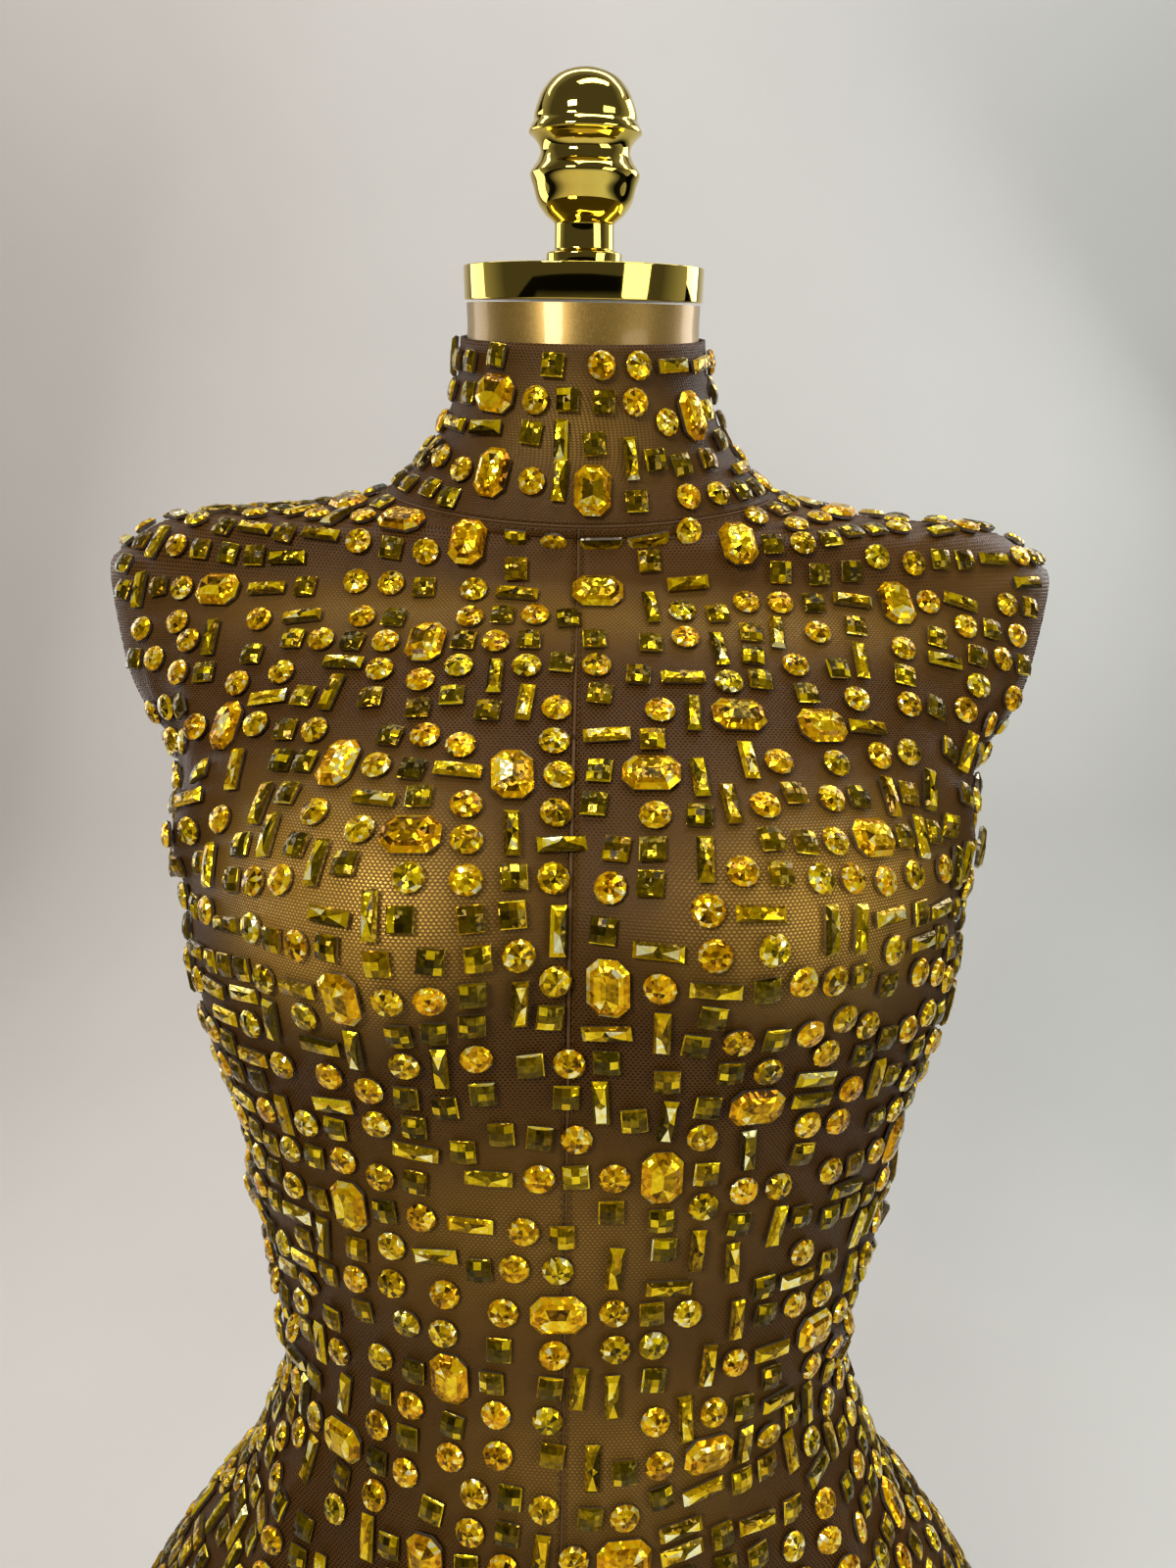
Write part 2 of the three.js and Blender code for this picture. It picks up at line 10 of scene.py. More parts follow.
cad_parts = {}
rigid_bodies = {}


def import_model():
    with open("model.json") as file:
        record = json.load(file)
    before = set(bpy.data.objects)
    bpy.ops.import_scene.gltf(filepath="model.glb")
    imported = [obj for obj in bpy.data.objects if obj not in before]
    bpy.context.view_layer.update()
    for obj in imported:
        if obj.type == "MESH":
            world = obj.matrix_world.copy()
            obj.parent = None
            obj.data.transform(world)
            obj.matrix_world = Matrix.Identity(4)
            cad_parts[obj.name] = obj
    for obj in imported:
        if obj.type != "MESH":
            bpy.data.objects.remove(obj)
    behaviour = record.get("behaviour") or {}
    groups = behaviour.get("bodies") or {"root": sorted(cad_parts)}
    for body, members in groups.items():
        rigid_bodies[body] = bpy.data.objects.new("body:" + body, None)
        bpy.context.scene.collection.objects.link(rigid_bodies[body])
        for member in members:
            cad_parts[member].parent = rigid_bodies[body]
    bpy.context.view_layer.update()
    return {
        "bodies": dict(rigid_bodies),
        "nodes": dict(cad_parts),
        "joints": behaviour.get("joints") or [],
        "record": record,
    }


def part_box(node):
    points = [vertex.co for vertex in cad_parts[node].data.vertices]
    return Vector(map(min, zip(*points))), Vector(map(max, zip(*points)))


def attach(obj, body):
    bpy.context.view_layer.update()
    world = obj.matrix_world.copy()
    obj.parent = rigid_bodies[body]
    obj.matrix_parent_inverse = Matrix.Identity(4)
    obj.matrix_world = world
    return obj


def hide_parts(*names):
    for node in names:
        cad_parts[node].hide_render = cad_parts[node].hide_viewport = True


bl_info = {
    "name": "Rhinestone Stage Dress",
    "version": (1, 0, 0),
    "blender": (4, 5, 0),
    "location": "View3D > Sidebar > Dress",
    "description": "A stretch net stage dress set with foiled stones, on a limbless dress form",
    "category": "Add Mesh",
}

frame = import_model()

MM = 0.001

# ---------------------------------------------------------------- the body under the net, in millimetres
#
# One ring a row, from the hem to the top of the neck. front, side and back are the ring's heights at the
# centre front, the sides and the centre back. half is its half width. fore and aft are its depths from the
# side points, which are moved back by shift. square is 2 for an ellipse and more for a squarer ring.

BODY_COLUMNS = ("front", "side", "back", "half", "fore", "aft", "shift", "square")
BODY_ROWS = np.array([
    (225, 225, 225, 160, 110, 118, 2, 2.15),  # hem
    (290, 290, 290, 174, 113, 126, 2, 2.15),  # thigh
    (355, 355, 355, 184, 112, 130, 2, 2.15),  # full hip
    (410, 410, 410, 183, 107, 126, 2, 2.1),  # hip
    (455, 455, 455, 158, 102, 112, 1, 2.05),  # upper hip
    (490, 490, 490, 132, 98, 96, 0, 2.05),  # high hip
    (520, 520, 520, 119, 94, 85, -1, 2.05),  # belly
    (550, 550, 550, 109, 91, 79, -2, 2.05),  # waist
    (585, 585, 585, 110, 90, 78, -2, 2.1),  # over the waist
    (620, 620, 620, 118, 92, 82, -2, 2.15),  # low ribs
    (660, 660, 660, 127, 96, 92, -2, 2.25),  # ribs
    (705, 705, 705, 142, 100, 99, -2, 2.3),  # under the bust
    (750, 750, 750, 145, 100, 103, -1, 2.35),  # bust
    (792, 792, 792, 160, 90, 98, 10, 1.95),  # armpit
    (824, 824, 826, 200, 84, 80, 27, 1.75),  # chest
    (846, 857, 850, 202, 68, 64, 30, 1.75),  # shoulder end
    (857, 875, 866, 182, 62, 56, 27, 1.8),  # outer shoulder
    (863, 882, 880, 163, 58, 51, 24, 1.85),  # mid shoulder
    (867, 885, 892, 118, 53, 50, 20, 1.95),  # inner shoulder
    (869, 888, 900, 96, 51, 49, 18, 2),  # neck root
    (872, 893, 907, 77, 50, 49, 15, 2),  # collar seam
    (890, 910, 927, 59, 48, 48, 14, 2),  # low neck
    (912, 931, 950, 49, 47, 47, 12, 2),  # mid neck
    (934, 953, 972, 46, 46, 46, 9, 2),  # collar top
    (949, 965, 981, 46, 44, 44, 7, 2),  # neck top
])
LAST_ROW = len(BODY_ROWS) - 1
FORM_BOTTOM_ROW = 1.75
ZIP_BOTTOM_ROW = 5.06
ZIP_GAP_ROW = 5  # the row from which the back's panels leave room for the zip
SHOULDER_ROWS = (13, 18)  # the rows that the armholes lie between
SHOULDER_END_ROW = 15  # the row past which the side line is the shoulder's
COLLAR_SEAM_ROW = 20
COLLAR_TOP_ROW = 23

# The bust's two rises: how far apart, how high, their half sizes, their rise, and how fast they end sideways.
BUST = {"apart": 106, "height": 743, "wide": 48, "above": 50, "below": 42, "rise": 20, "end": 2.2}

# The arm face is a plane that leans in towards the bottom, with this half width at this height.
ARM_FACE = {"half": 184, "height": 852, "lean": 0.42, "lowest": 788}
ARMHOLE_PROUD = 4
FORE_START = math.pi / 5  # a turn in front of the arm face
AFT_START = 0.8 * math.pi  # a turn behind it
SEAM_GAP = 0.3
ZIP_WIDTH = 4
SEAM_STEP = 3  # the largest distance between points along a seam
SHORT_OF = 0.01  # how many rows a piece stops short of the collar seam

# Folds of the net: turn, height, slant, long, wide and rise. turn is degrees round from the centre front,
# growing towards +X, slant is degrees from level, long and wide are half sizes, and rise is how far the fold
# stands off.
FOLDS = np.array([
    (-58, 768, 38, 46, 8, 5), (-57, 790, 55, 36, 8, 4),  # left underarm
    (60, 772, -42, 46, 8, 5), (60, 796, -58, 32, 8, 4),  # right underarm
    (-80, 624, 6, 34, 8, 5), (-78, 604, -8, 30, 7, 4), (-82, 585, 4, 36, 7, 6),  # left of the waist
    (-76, 566, 10, 30, 7, 5),
    (80, 630, -10, 30, 8, 4), (78, 610, 5, 34, 8, 6), (82, 588, -6, 32, 7, 5),  # right of the waist
    (77, 569, -12, 30, 7, 4),
    (-54, 506, 80, 26, 9, 5), (52, 508, -78, 28, 9, 5),  # hips
    (-18, 606, -24, 60, 12, 2), (22, 566, 20, 60, 12, 2),  # belly
    (150, 600, 8, 40, 8, 5), (148, 574, -6, 44, 8, 5),  # back of the waist
    (-152, 604, -6, 42, 8, 5), (-149, 578, 8, 42, 8, 5),
    (122, 778, 40, 40, 8, 4), (-122, 776, -40, 40, 8, 4),  # back underarm
])

# Small creases too fine for the solids, in the same columns.
CREASES = np.array([
    (-70, 775, 30, 30, 3, 1.4), (-66, 800, 48, 26, 3, 1.2), (-48, 775, 32, 24, 3, 0.9),
    (71, 778, -32, 30, 3, 1.4), (67, 802, -50, 26, 3, 1.2), (49, 780, -36, 24, 3, 0.9),
    (-60, 640, 12, 30, 3.5, 1.3), (-58, 612, -10, 26, 3, 1.2), (-62, 575, 8, 30, 3, 1.2),
    (-44, 556, 18, 24, 3, 0.9),
    (62, 645, -12, 28, 3.5, 1.2), (58, 618, 8, 26, 3, 1.2), (60, 580, -10, 30, 3, 1.3),
    (44, 560, -16, 24, 3, 0.9),
    (168, 590, 4, 26, 3, 1), (-169, 612, -5, 26, 3, 1), (110, 640, -8, 30, 3, 1), (-112, 628, 8, 30, 3, 1),
    (30, 520, 30, 34, 4, 1), (-28, 534, -24, 34, 4, 1),
])

# Large cut-corner stones of the front: turn, height, and 1 with the long side upright or 0 level.
FRONT_STONES = (
    (-37, 920, 0), (50, 915, 1), (-30, 891, 1), (4, 884, 1), (-15, 865, 1), (22, 866, 1), (35, 872, 0),
    (-39, 873, 0), (-72, 883, 0), (77, 883, 0), (2, 847, 0), (-44, 848, 0), (37, 846, 1), (-15, 827, 1),
    (18, 804, 0), (29, 801, 0), (-28, 787, 1), (-47, 798, 1), (-7, 785, 1), (9, 786, 0), (-18, 768, 0),
    (37, 767, 0), (-26, 724, 1), (5, 728, 1), (24, 688, 0), (13, 664, 1), (60, 656, 1), (-33, 646, 1),
    (-1, 616, 0), (48, 592, 0), (-19, 590, 1), (-43, 552, 0), (25, 563, 0), (-22, 526, 1), (10, 531, 0),
)
BACK_STONE_DROP = 9
BACK_STONE_TOP = 860
SKIRT_STONES = {"lowest": 250, "highest": 490, "up": 60, "around": 60, "stagger": 31}

# Where the net is stretched onto the gold form, so that the paint shows through its holes, and where those
# holes and threads are painted bright as a highlight of the lit form: turn and height of the middle, half
# sizes round and up, and how open it looks.
TOUCH_LIT_SPOTS = np.array([
    (-28, 752, 34, 26, 1.0), (33, 750, 36, 24, 1.0), (-31, 736, 26, 20, 0.7), (-20, 842, 60, 12, 0.25),
    (24, 838, 60, 12, 0.3), (0, 905, 30, 20, 0.35), (-4, 640, 50, 30, 0.3), (8, 560, 46, 30, 0.3),
    (150, 800, 50, 26, 0.6), (-150, 800, 50, 26, 0.6), (140, 420, 60, 40, 0.5), (-140, 420, 60, 40, 0.5),
    (0, 430, 60, 40, 0.35), (60, 860, 30, 10, 0.15),
])

# Where drag lines turn the stones' grain: turn, height, half sizes round and up, degrees.
GRAIN_TURNS = np.array([
    (-62, 790, 46, 34, 26), (62, 792, 46, 34, -26), (-62, 606, 40, 40, 10), (62, 600, 40, 40, -10),
    (-30, 560, 50, 26, -8), (34, 556, 50, 26, 8), (118, 780, 46, 34, 20), (-118, 780, 46, 34, -20),
    (46, 842, 50, 34, -12), (-46, 840, 40, 26, 6),
])


def cubic(p0, p1, p2, p3, w):
    """A curve from p1 at 0 to p2 at 1, with slopes taken from the neighbours p0 and p3."""
    return p1 + 0.5 * w * (p2 - p0 + w * (2 * p0 - 5 * p1 + 4 * p2 - p3 + w * (3 * (p1 - p2) + p3 - p0)))


def smooth_rows(row):
    """The body's eight measures at fractional rows: each is a cubic through four neighbouring rows."""
    row = np.clip(np.asarray(row, float), 0, LAST_ROW)
    low = np.minimum(row.astype(int), LAST_ROW - 1)
    w = (row - low)[..., None]
    p1, p2 = BODY_ROWS[low], BODY_ROWS[low + 1]
    p0 = np.where((low > 0)[..., None], BODY_ROWS[np.maximum(low - 1, 0)], 2 * p1 - p2)
    p3 = np.where((low + 2 <= LAST_ROW)[..., None], BODY_ROWS[np.minimum(low + 2, LAST_ROW)], 2 * p2 - p1)
    return cubic(p0, p1, p2, p3, w)


def bell(distance, half):
    """1 in the middle, falling to 1/e at half."""
    return np.exp(-((distance / half) ** 2))


def wrap(turn):
    """The same turn between minus half a turn and half a turn."""
    return np.arctan2(np.sin(turn), np.cos(turn))


def skin(turn, row):
    """A point of the body: a superellipse ring at its turn round from the centre front, tipped so that its
    front, sides and back have their own heights, with two soft rises for the bust."""
    turn, row = np.broadcast_arrays(np.asarray(turn, float), np.asarray(row, float))
    front, side, back, half, fore, aft, shift, square = np.moveaxis(smooth_rows(row), -1, 0)
    s, c = np.sin(turn), np.cos(turn)
    reach = (np.abs(s) ** square + np.abs(c) ** square) ** (-1 / square)
    x = half * reach * s
    z = side - 0.5 * (back - front) * c + (0.5 * (front + back) - side) * c * c
    lobe = bell(np.abs(x) - BUST["apart"] / 2, BUST["wide"])
    lobe = lobe * bell(z - BUST["height"], np.where(z > BUST["height"], BUST["above"], BUST["below"]))
    y = shift - np.where(c > 0, fore, aft) * reach * c - BUST["rise"] * lobe * np.clip(BUST["end"] * c, 0, 1)
    return np.stack([x, y, z], -1)


def unit(vectors):
    """Vectors of length one."""
    return vectors / np.maximum(np.linalg.norm(vectors, axis=-1, keepdims=True), 1e-12)


def surface_frame(surface, turn, row, step=1e-3):
    """Tangents round and up, per radian and per row, and the outward normal, by small steps either way."""
    around = (surface(turn + step, row) - surface(turn - step, row)) / (2 * step)
    low, high = np.maximum(row - step, 0), np.minimum(row + step, LAST_ROW)
    up = (surface(turn, high) - surface(turn, low)) / (high - low)[..., None]
    return around, up, unit(np.cross(around, up))


def ridge_rise(table, turn, row, height):
    """The sum of the table's ridges: each a bell across its own slanted line and a longer bell along it."""
    _, _, _, half, fore, aft, _, _ = np.moveaxis(smooth_rows(row), -1, 0)
    girth = (half + 0.5 * (fore + aft)) / 2
    rise = 0
    for at, level, slant, long, wide, tall in table:
        across, upward = wrap(turn - math.radians(at)) * girth, height - level
        cos, sin = math.cos(math.radians(slant)), math.sin(math.radians(slant))
        rise = rise + tall * bell(upward * cos - across * sin, wide) * bell(across * cos + upward * sin, long)
    return rise


def spot_sum(table, turn, row, height):
    """The sum of the table's soft spots, each an upright bell times a level bell."""
    _, _, _, half, fore, aft, _, _ = np.moveaxis(smooth_rows(row), -1, 0)
    girth = (half + 0.5 * (fore + aft)) / 2
    total = 0
    for at, level, wide, tall, amount in table:
        across = wrap(turn - math.radians(at)) * girth
        total = total + amount * bell(across, wide) * bell(height - level, tall)
    return total


def cloth(turn, row, out=0.0, clear=1.2, creases=False):
    """A point of the net: the skin moved out along its normal by the clearance, the folds and out."""
    turn, row = np.broadcast_arrays(np.asarray(turn, float), np.asarray(row, float))
    point = skin(turn, row)
    lift = clear + ridge_rise(FOLDS, turn, row, point[..., 2]) + out
    if creases:
        lift = lift + ridge_rise(CREASES, turn, row, point[..., 2])
    return point + surface_frame(skin, turn, row)[2] * np.asarray(lift)[..., None]


def net_face(net, creases=False):
    """The net's outer face as a function of turn and row."""
    return lambda turn, row: cloth(turn, row, net.wall / MM, net.clear / MM, creases)


def arm_face(height):
    """Half width of the arm faces at a height."""
    return ARM_FACE["half"] - ARM_FACE["lean"] * (ARM_FACE["height"] - height)


def halved(near, far, is_past):
    """The narrow span between near and far in which a test starts to hold, found by halving."""
    for _ in range(26):
        middle = (near + far) / 2
        past = is_past(middle)
        near, far = np.where(past, near, middle), np.where(past, middle, far)
    return near, far


def arm_turn(surface, row, side, start, seam, proud):
    """The turn at which each ring crosses the arm face, or its side seam where it doesn't."""

    def past(turn):
        edge = surface(side * turn, row)
        return (edge[..., 2] > ARM_FACE["lowest"]) & (side * edge[..., 0] > arm_face(edge[..., 2]) + proud)

    far = np.array(seam, float) * np.ones(row.shape)
    near, _ = halved(np.full(row.shape, float(start)), far, past)
    return np.where(past(far), near, seam)


def row_at_height(turn, height):
    """The row at which the skin has a given height at a given turn."""
    turn, height = np.broadcast_arrays(np.asarray(turn, float), np.asarray(height, float))
    last = np.full(turn.shape, float(LAST_ROW))
    low, high = halved(np.zeros(turn.shape), last, lambda row: skin(turn, row)[..., 2] >= height)
    return (low + high) / 2


def fine_rows(first, last, step):
    """Rows from first to last, so close that neighbouring rings are at most a step apart anywhere."""
    probes = np.radians([0, 45, 90, 135, 180])
    rows = [first]
    for low in range(int(first), math.ceil(last)):
        start, end = max(low, first), min(low + 1, last)
        across = skin(probes, np.full(5, end)) - skin(probes, np.full(5, start))
        count = max(1, math.ceil(np.linalg.norm(across, axis=-1).max() / step))
        rows.extend(np.linspace(start, end, count + 1)[1:])
    return np.array(rows)


# ---------------------------------------------------------------- meshes from arrays


def grid_faces(rows, columns, wrapped=False):
    """Quads between neighbouring rows and columns of a grid of points, joined round where it is wrapped."""
    across = columns if wrapped else columns - 1
    r, c = np.meshgrid(np.arange(rows - 1), np.arange(across), indexing="ij")
    n = (c + 1) % columns
    corners = [r * columns + c, r * columns + n, (r + 1) * columns + n, (r + 1) * columns + c]
    return np.stack(corners, -1).reshape(-1, 4)


def new_mesh(name, points, faces, material, smooth=True):
    """An object with its place in its mesh; points are millimetres."""
    mesh = bpy.data.meshes.new(name)
    corners = (np.asarray(points).reshape(-1, 3) * MM).tolist()
    mesh.from_pydata(corners, [], [list(map(int, face)) for face in faces])
    mesh.validate()
    mesh.polygons.foreach_set("use_smooth", np.full(len(mesh.polygons), smooth))
    mesh.materials.append(material)
    mesh.update()
    piece = bpy.data.objects.new(name, mesh)
    bpy.context.scene.collection.objects.link(piece)
    return piece


def mark(piece, name, values, domain="POINT"):
    """Gives each point or face of a piece a number that its material reads."""
    attribute = piece.data.attributes.new(name, "FLOAT", domain)
    attribute.data.foreach_set("value", np.asarray(values, np.float32).ravel())


def lay_uv(piece, uv):
    """One UV in metres for each point, copied to the corners that use it."""
    layer = piece.data.uv_layers.new(name="cloth")
    corner = np.zeros(len(piece.data.loops), np.int32)
    piece.data.loops.foreach_get("vertex_index", corner)
    layer.data.foreach_set("uv", np.asarray(uv, np.float32).reshape(-1, 2)[corner].ravel())


def capped(rings, foot, head):
    """Closed rings, a middle point below the first and one above the last, and the faces over them all."""
    rows, columns = rings.shape[:2]
    points = np.concatenate([rings.reshape(-1, 3), [foot], [head]])
    column = np.arange(columns)
    after, last = (column + 1) % columns, (rows - 1) * columns
    faces = grid_faces(rows, columns, True).tolist()
    faces += np.stack([np.full(columns, len(points) - 2), after, column], -1).tolist()
    faces += np.stack([np.full(columns, len(points) - 1), last + column, last + after], -1).tolist()
    return points, faces


def turned(name, profile, sides, material, matrix, sharp):
    """A profile of radius and height carried round an axis; its first and last points lie on the axis."""
    profile = np.array(profile, float)
    turn = np.linspace(0, 2 * np.pi, sides, endpoint=False)
    ring = np.stack([np.cos(turn), np.sin(turn)], -1)
    body = profile[1:-1]
    rings = np.concatenate([body[:, None, :1] * ring[None], np.repeat(body[:, None, 1:], sides, 1)], -1)
    points, faces = capped(rings, (0, 0, profile[0, 1]), (0, 0, profile[-1, 1]))
    placed = points @ np.array(matrix.to_3x3()).T + np.array(matrix.translation)
    piece = new_mesh(name, placed, faces, material)
    piece.data.set_sharp_from_angle(angle=math.radians(sharp))
    return piece


def smooth_profile(knots, steps):
    """A cubic curve through the knots of a turned profile, with steps points a stretch."""
    knots = np.array(knots, float)
    padded = np.concatenate([2 * knots[:1] - knots[1:2], knots, 2 * knots[-1:] - knots[-2:-1]])
    w = np.linspace(0, 1, steps, endpoint=False)[:, None]
    parts = []
    for four in zip(padded, padded[1:], padded[2:], padded[3:]):
        parts.append(cubic(*four, w))
    return np.concatenate([*parts, knots[-1:]])


def rounded(corners, radius=0.8, steps=4):
    """A turned profile whose inner corners are rounded by short curves."""
    corners = np.array(corners, float)
    points = [corners[0]]
    for before, here, after in zip(corners, corners[1:], corners[2:]):
        room = min(radius, 0.45 * np.linalg.norm(before - here), 0.45 * np.linalg.norm(after - here))
        start = here + unit(before - here) * room
        end = here + unit(after - here) * room
        for w in np.linspace(0, 1, steps + 1):
            points.append((1 - w) ** 2 * start + 2 * w * (1 - w) * here + w * w * end)
    return np.array([*points, corners[-1]])


# ---------------------------------------------------------------- materials


class Nodes:
    """Short calls for one node tree."""

    def __init__(self, tree):
        self.tree = tree
        self.x = 0

    def add(self, kind, values=None, **settings):
        node = self.tree.nodes.new(kind)
        node.location = (self.x, 0)
        self.x += 180
        for key, value in settings.items():
            setattr(node, key, value)
        return self.feed(node, values or {})

    def feed(self, node, values):
        """Links what is itself a socket to the node's sockets, and sets the rest."""
        for socket, value in values.items():
            if isinstance(value, bpy.types.NodeSocket):
                self.tree.links.new(value, node.inputs[socket])
            else:
                node.inputs[socket].default_value = value
        return node

    def math(self, operation, *values):
        return self.add("ShaderNodeMath", dict(enumerate(values)), operation=operation).outputs[0]

    def fit(self, value, low, high, to_low=0.0, to_high=1.0):
        """Carries value from one range to another, held inside it."""
        settings = {"Value": value, 1: low, 2: high, 3: to_low, 4: to_high}
        return self.add("ShaderNodeMapRange", settings).outputs[0]

    def mix_values(self, share, first, second):
        return self.add("ShaderNodeMix", {0: share, 2: first, 3: second}, data_type="FLOAT").outputs[0]

    def mix(self, share, first, second):
        return self.add("ShaderNodeMix", {0: share, 6: first, 7: second}, data_type="RGBA").outputs[2]

    def ramp(self, value, stops):
        node = self.add("ShaderNodeValToRGB", {"Fac": value})
        for element, (place, colour) in zip(node.color_ramp.elements, (stops[0], stops[-1])):
            element.position, element.color = place, colour
        for place, colour in stops[1:-1]:
            node.color_ramp.elements.new(place).color = colour
        return node.outputs[0]

    def attribute(self, name):
        return self.add("ShaderNodeAttribute", attribute_name=name).outputs["Fac"]

    def noise(self, vector, scale, detail=2.0, rough=0.5):
        values = {"Vector": vector, "Scale": scale, "Detail": detail, "Roughness": rough}
        return self.add("ShaderNodeTexNoise", values).outputs["Fac"]


def shader_group(name, inputs, outputs):
    """An empty node group with named number inputs (name: default) and number outputs."""
    group = bpy.data.node_groups.new(name, "ShaderNodeTree")
    group.interface.new_socket("Vector", in_out="INPUT", socket_type="NodeSocketVector")
    for socket, value in inputs.items():
        made = group.interface.new_socket(socket, in_out="INPUT", socket_type="NodeSocketFloat")
        made.default_value = value
    for socket in outputs:
        group.interface.new_socket(socket, in_out="OUTPUT", socket_type="NodeSocketFloat")
    nodes = Nodes(group)
    entry, leave = nodes.add("NodeGroupInput"), group.nodes.new("NodeGroupOutput")
    return group, nodes, entry.outputs, leave.inputs


def net_mesh_group():
    """Holes of a knitted net: flattened diamonds in staggered rows. Each row is shifted by half a hole."""
    sizes = {"Across": 1.1, "Up": 0.72, "Open": 0.6}
    group, n, given, out = shader_group("net mesh", sizes, ("Holes", "Height"))
    place = n.add("ShaderNodeSeparateXYZ", {0: given["Vector"]}).outputs
    across = n.math("DIVIDE", place["X"], given["Across"])
    upward = n.math("DIVIDE", place["Y"], given["Up"])
    course = n.math("FLOOR", upward)
    shift = n.math("MULTIPLY", n.math("FLOORED_MODULO", course, 2.0), 0.5)
    u = n.math("ABSOLUTE", n.math("SUBTRACT", n.math("FRACT", n.math("ADD", across, shift)), 0.5))
    v = n.math("ABSOLUTE", n.math("SUBTRACT", n.math("FRACT", upward), 0.5))
    spread = n.math("ADD", n.math("MULTIPLY", u, 1.15), v)
    edge = n.math("MULTIPLY", given["Open"], 0.62)
    low, high = n.math("SUBTRACT", edge, 0.07), n.math("ADD", edge, 0.07)
    group.links.new(n.fit(spread, low, high, 1.0, 0.0), out["Holes"])
    group.links.new(n.fit(spread, 0.1, 0.75), out["Height"])
    return group


def wear_group():
    """Soft uneven shade and fine scuffs: two sizes of noise."""
    group, n, given, out = shader_group("uneven finish", {"Scale": 30.0, "Fine": 400.0}, ("Cloud", "Grain"))
    group.links.new(n.fit(n.noise(given["Vector"], given["Scale"], 3.0), 0.3, 0.7), out["Cloud"])
    group.links.new(n.noise(given["Vector"], given["Fine"], 2.0, 0.6), out["Grain"])
    return group


def sparkle_group():
    """The back facets seen through a stone: small flat cells, each with its own tilt and its own tone, a
    painted reflection.
    """
    group, n, given, out = shader_group("inner facets", {"Scale": 420.0, "Tilt": 0.3}, ("Tone",))
    group.interface.new_socket("Facet", in_out="OUTPUT", socket_type="NodeSocketVector")
    cells = n.add("ShaderNodeTexVoronoi", {"Vector": given["Vector"], "Scale": given["Scale"]}, feature="F1")
    parts = n.add("ShaderNodeSeparateColor", {0: cells.outputs["Color"]}).outputs
    group.links.new(parts[0], out["Tone"])
    shift = {0: cells.outputs["Color"], 1: (0.5, 0.5, 0.5)}
    middle = n.add("ShaderNodeVectorMath", shift, operation="SUBTRACT")
    tilt = n.add("ShaderNodeVectorMath", {0: middle.outputs[0], "Scale": given["Tilt"]}, operation="SCALE")
    normal = n.add("ShaderNodeNewGeometry").outputs["Normal"]
    turned_way = n.add("ShaderNodeVectorMath", {0: normal, 1: tilt.outputs[0]}, operation="ADD")
    facet = n.add("ShaderNodeVectorMath", {0: turned_way.outputs[0]}, operation="NORMALIZE")
    leave = next(node for node in group.nodes if node.bl_idname == "NodeGroupOutput")
    group.links.new(facet.outputs[0], leave.inputs["Facet"])
    return group


GROUPS = {}


def shared(name):
    """Each shared node group once, by name."""
    makers = {"net": net_mesh_group, "wear": wear_group, "sparkle": sparkle_group}
    if name not in GROUPS:
        GROUPS[name] = makers[name]()
    return GROUPS[name]


def new_material(name):
    """A material with its tree emptied but for the shader and the output."""
    material = bpy.data.materials.new(name)
    material.use_nodes = True
    nodes = Nodes(material.node_tree)
    shader = material.node_tree.nodes["Principled BSDF"]
    return material, nodes, shader


def place_group(nodes, name, vector, **values):
    """The outputs of a shared node group that is placed with its own values."""
    return nodes.add("ShaderNodeGroup", {"Vector": vector, **values}, node_tree=shared(name)).outputs


def object_place(nodes):
    """The piece's own coordinates."""
    return nodes.add("ShaderNodeTexCoord").outputs["Object"]


def bump(nodes, height, strength, distance):
    """A normal tilted by a height that changes over the surface."""
    values = {"Height": height, "Strength": strength, "Distance": distance}
    return nodes.add("ShaderNodeBump", values).outputs[0]


def net_material(net):
    """Stretch net: brown threads with a soft sheen round small staggered holes. Where the net is stretched
    onto the form the paint shows through them, painted bright as a highlight of the lit form, with the
    threads painted lighter there; elsewhere the holes are painted dark as shade."""
    material, n, shader = new_material("stretch net")
    uv = n.add("ShaderNodeUVMap", uv_map="cloth").outputs[0]
    touch_lit, open_edge = n.attribute("touch_lit"), n.attribute("open_edge")
    hole_size = n.fit(n.attribute("dense"), 0, 1, 0.74, 0.58)
    weave = place_group(n, "net", uv, Across=net.hole_across, Up=net.hole_up, Open=hole_size)
    wear = place_group(n, "wear", object_place(n), Scale=26.0, Fine=900.0)
    thread = n.mix(wear["Cloud"], (*net.thread, 1), (*net.thread_light, 1))
    # Painted highlight: the thread is lightened where the net lies stretched on the lit form.
    stretched = n.mix(n.math("MULTIPLY", touch_lit, 0.8), thread, (*net.thread_stretched_lit, 1))
    # Painted shade and highlight: most holes are painted near black for the shade behind them, and stretched
    # ones bright gold for the lit paint, partly metallic.
    hole = n.mix(touch_lit, (*net.gap, 1), (*net.hole_highlight, 1))
    shade = n.mix(weave["Holes"], stretched, hole)
    painted = n.math("MULTIPLY", n.math("MULTIPLY", weave["Holes"], touch_lit), 0.8)
    clear = n.math("MULTIPLY", weave["Holes"], n.fit(open_edge, 0, 1, 0.12, 0.95))
    n.feed(shader, {
        "Base Color": shade, "Metallic": painted, "Roughness": n.fit(wear["Grain"], 0.3, 0.7, 0.36, 0.56),
        "Alpha": n.math("SUBTRACT", 1.0, clear), "Specular IOR Level": 0.12,
        "Normal": bump(n, weave["Height"], 0.6, 0.0002),
    })
    return material


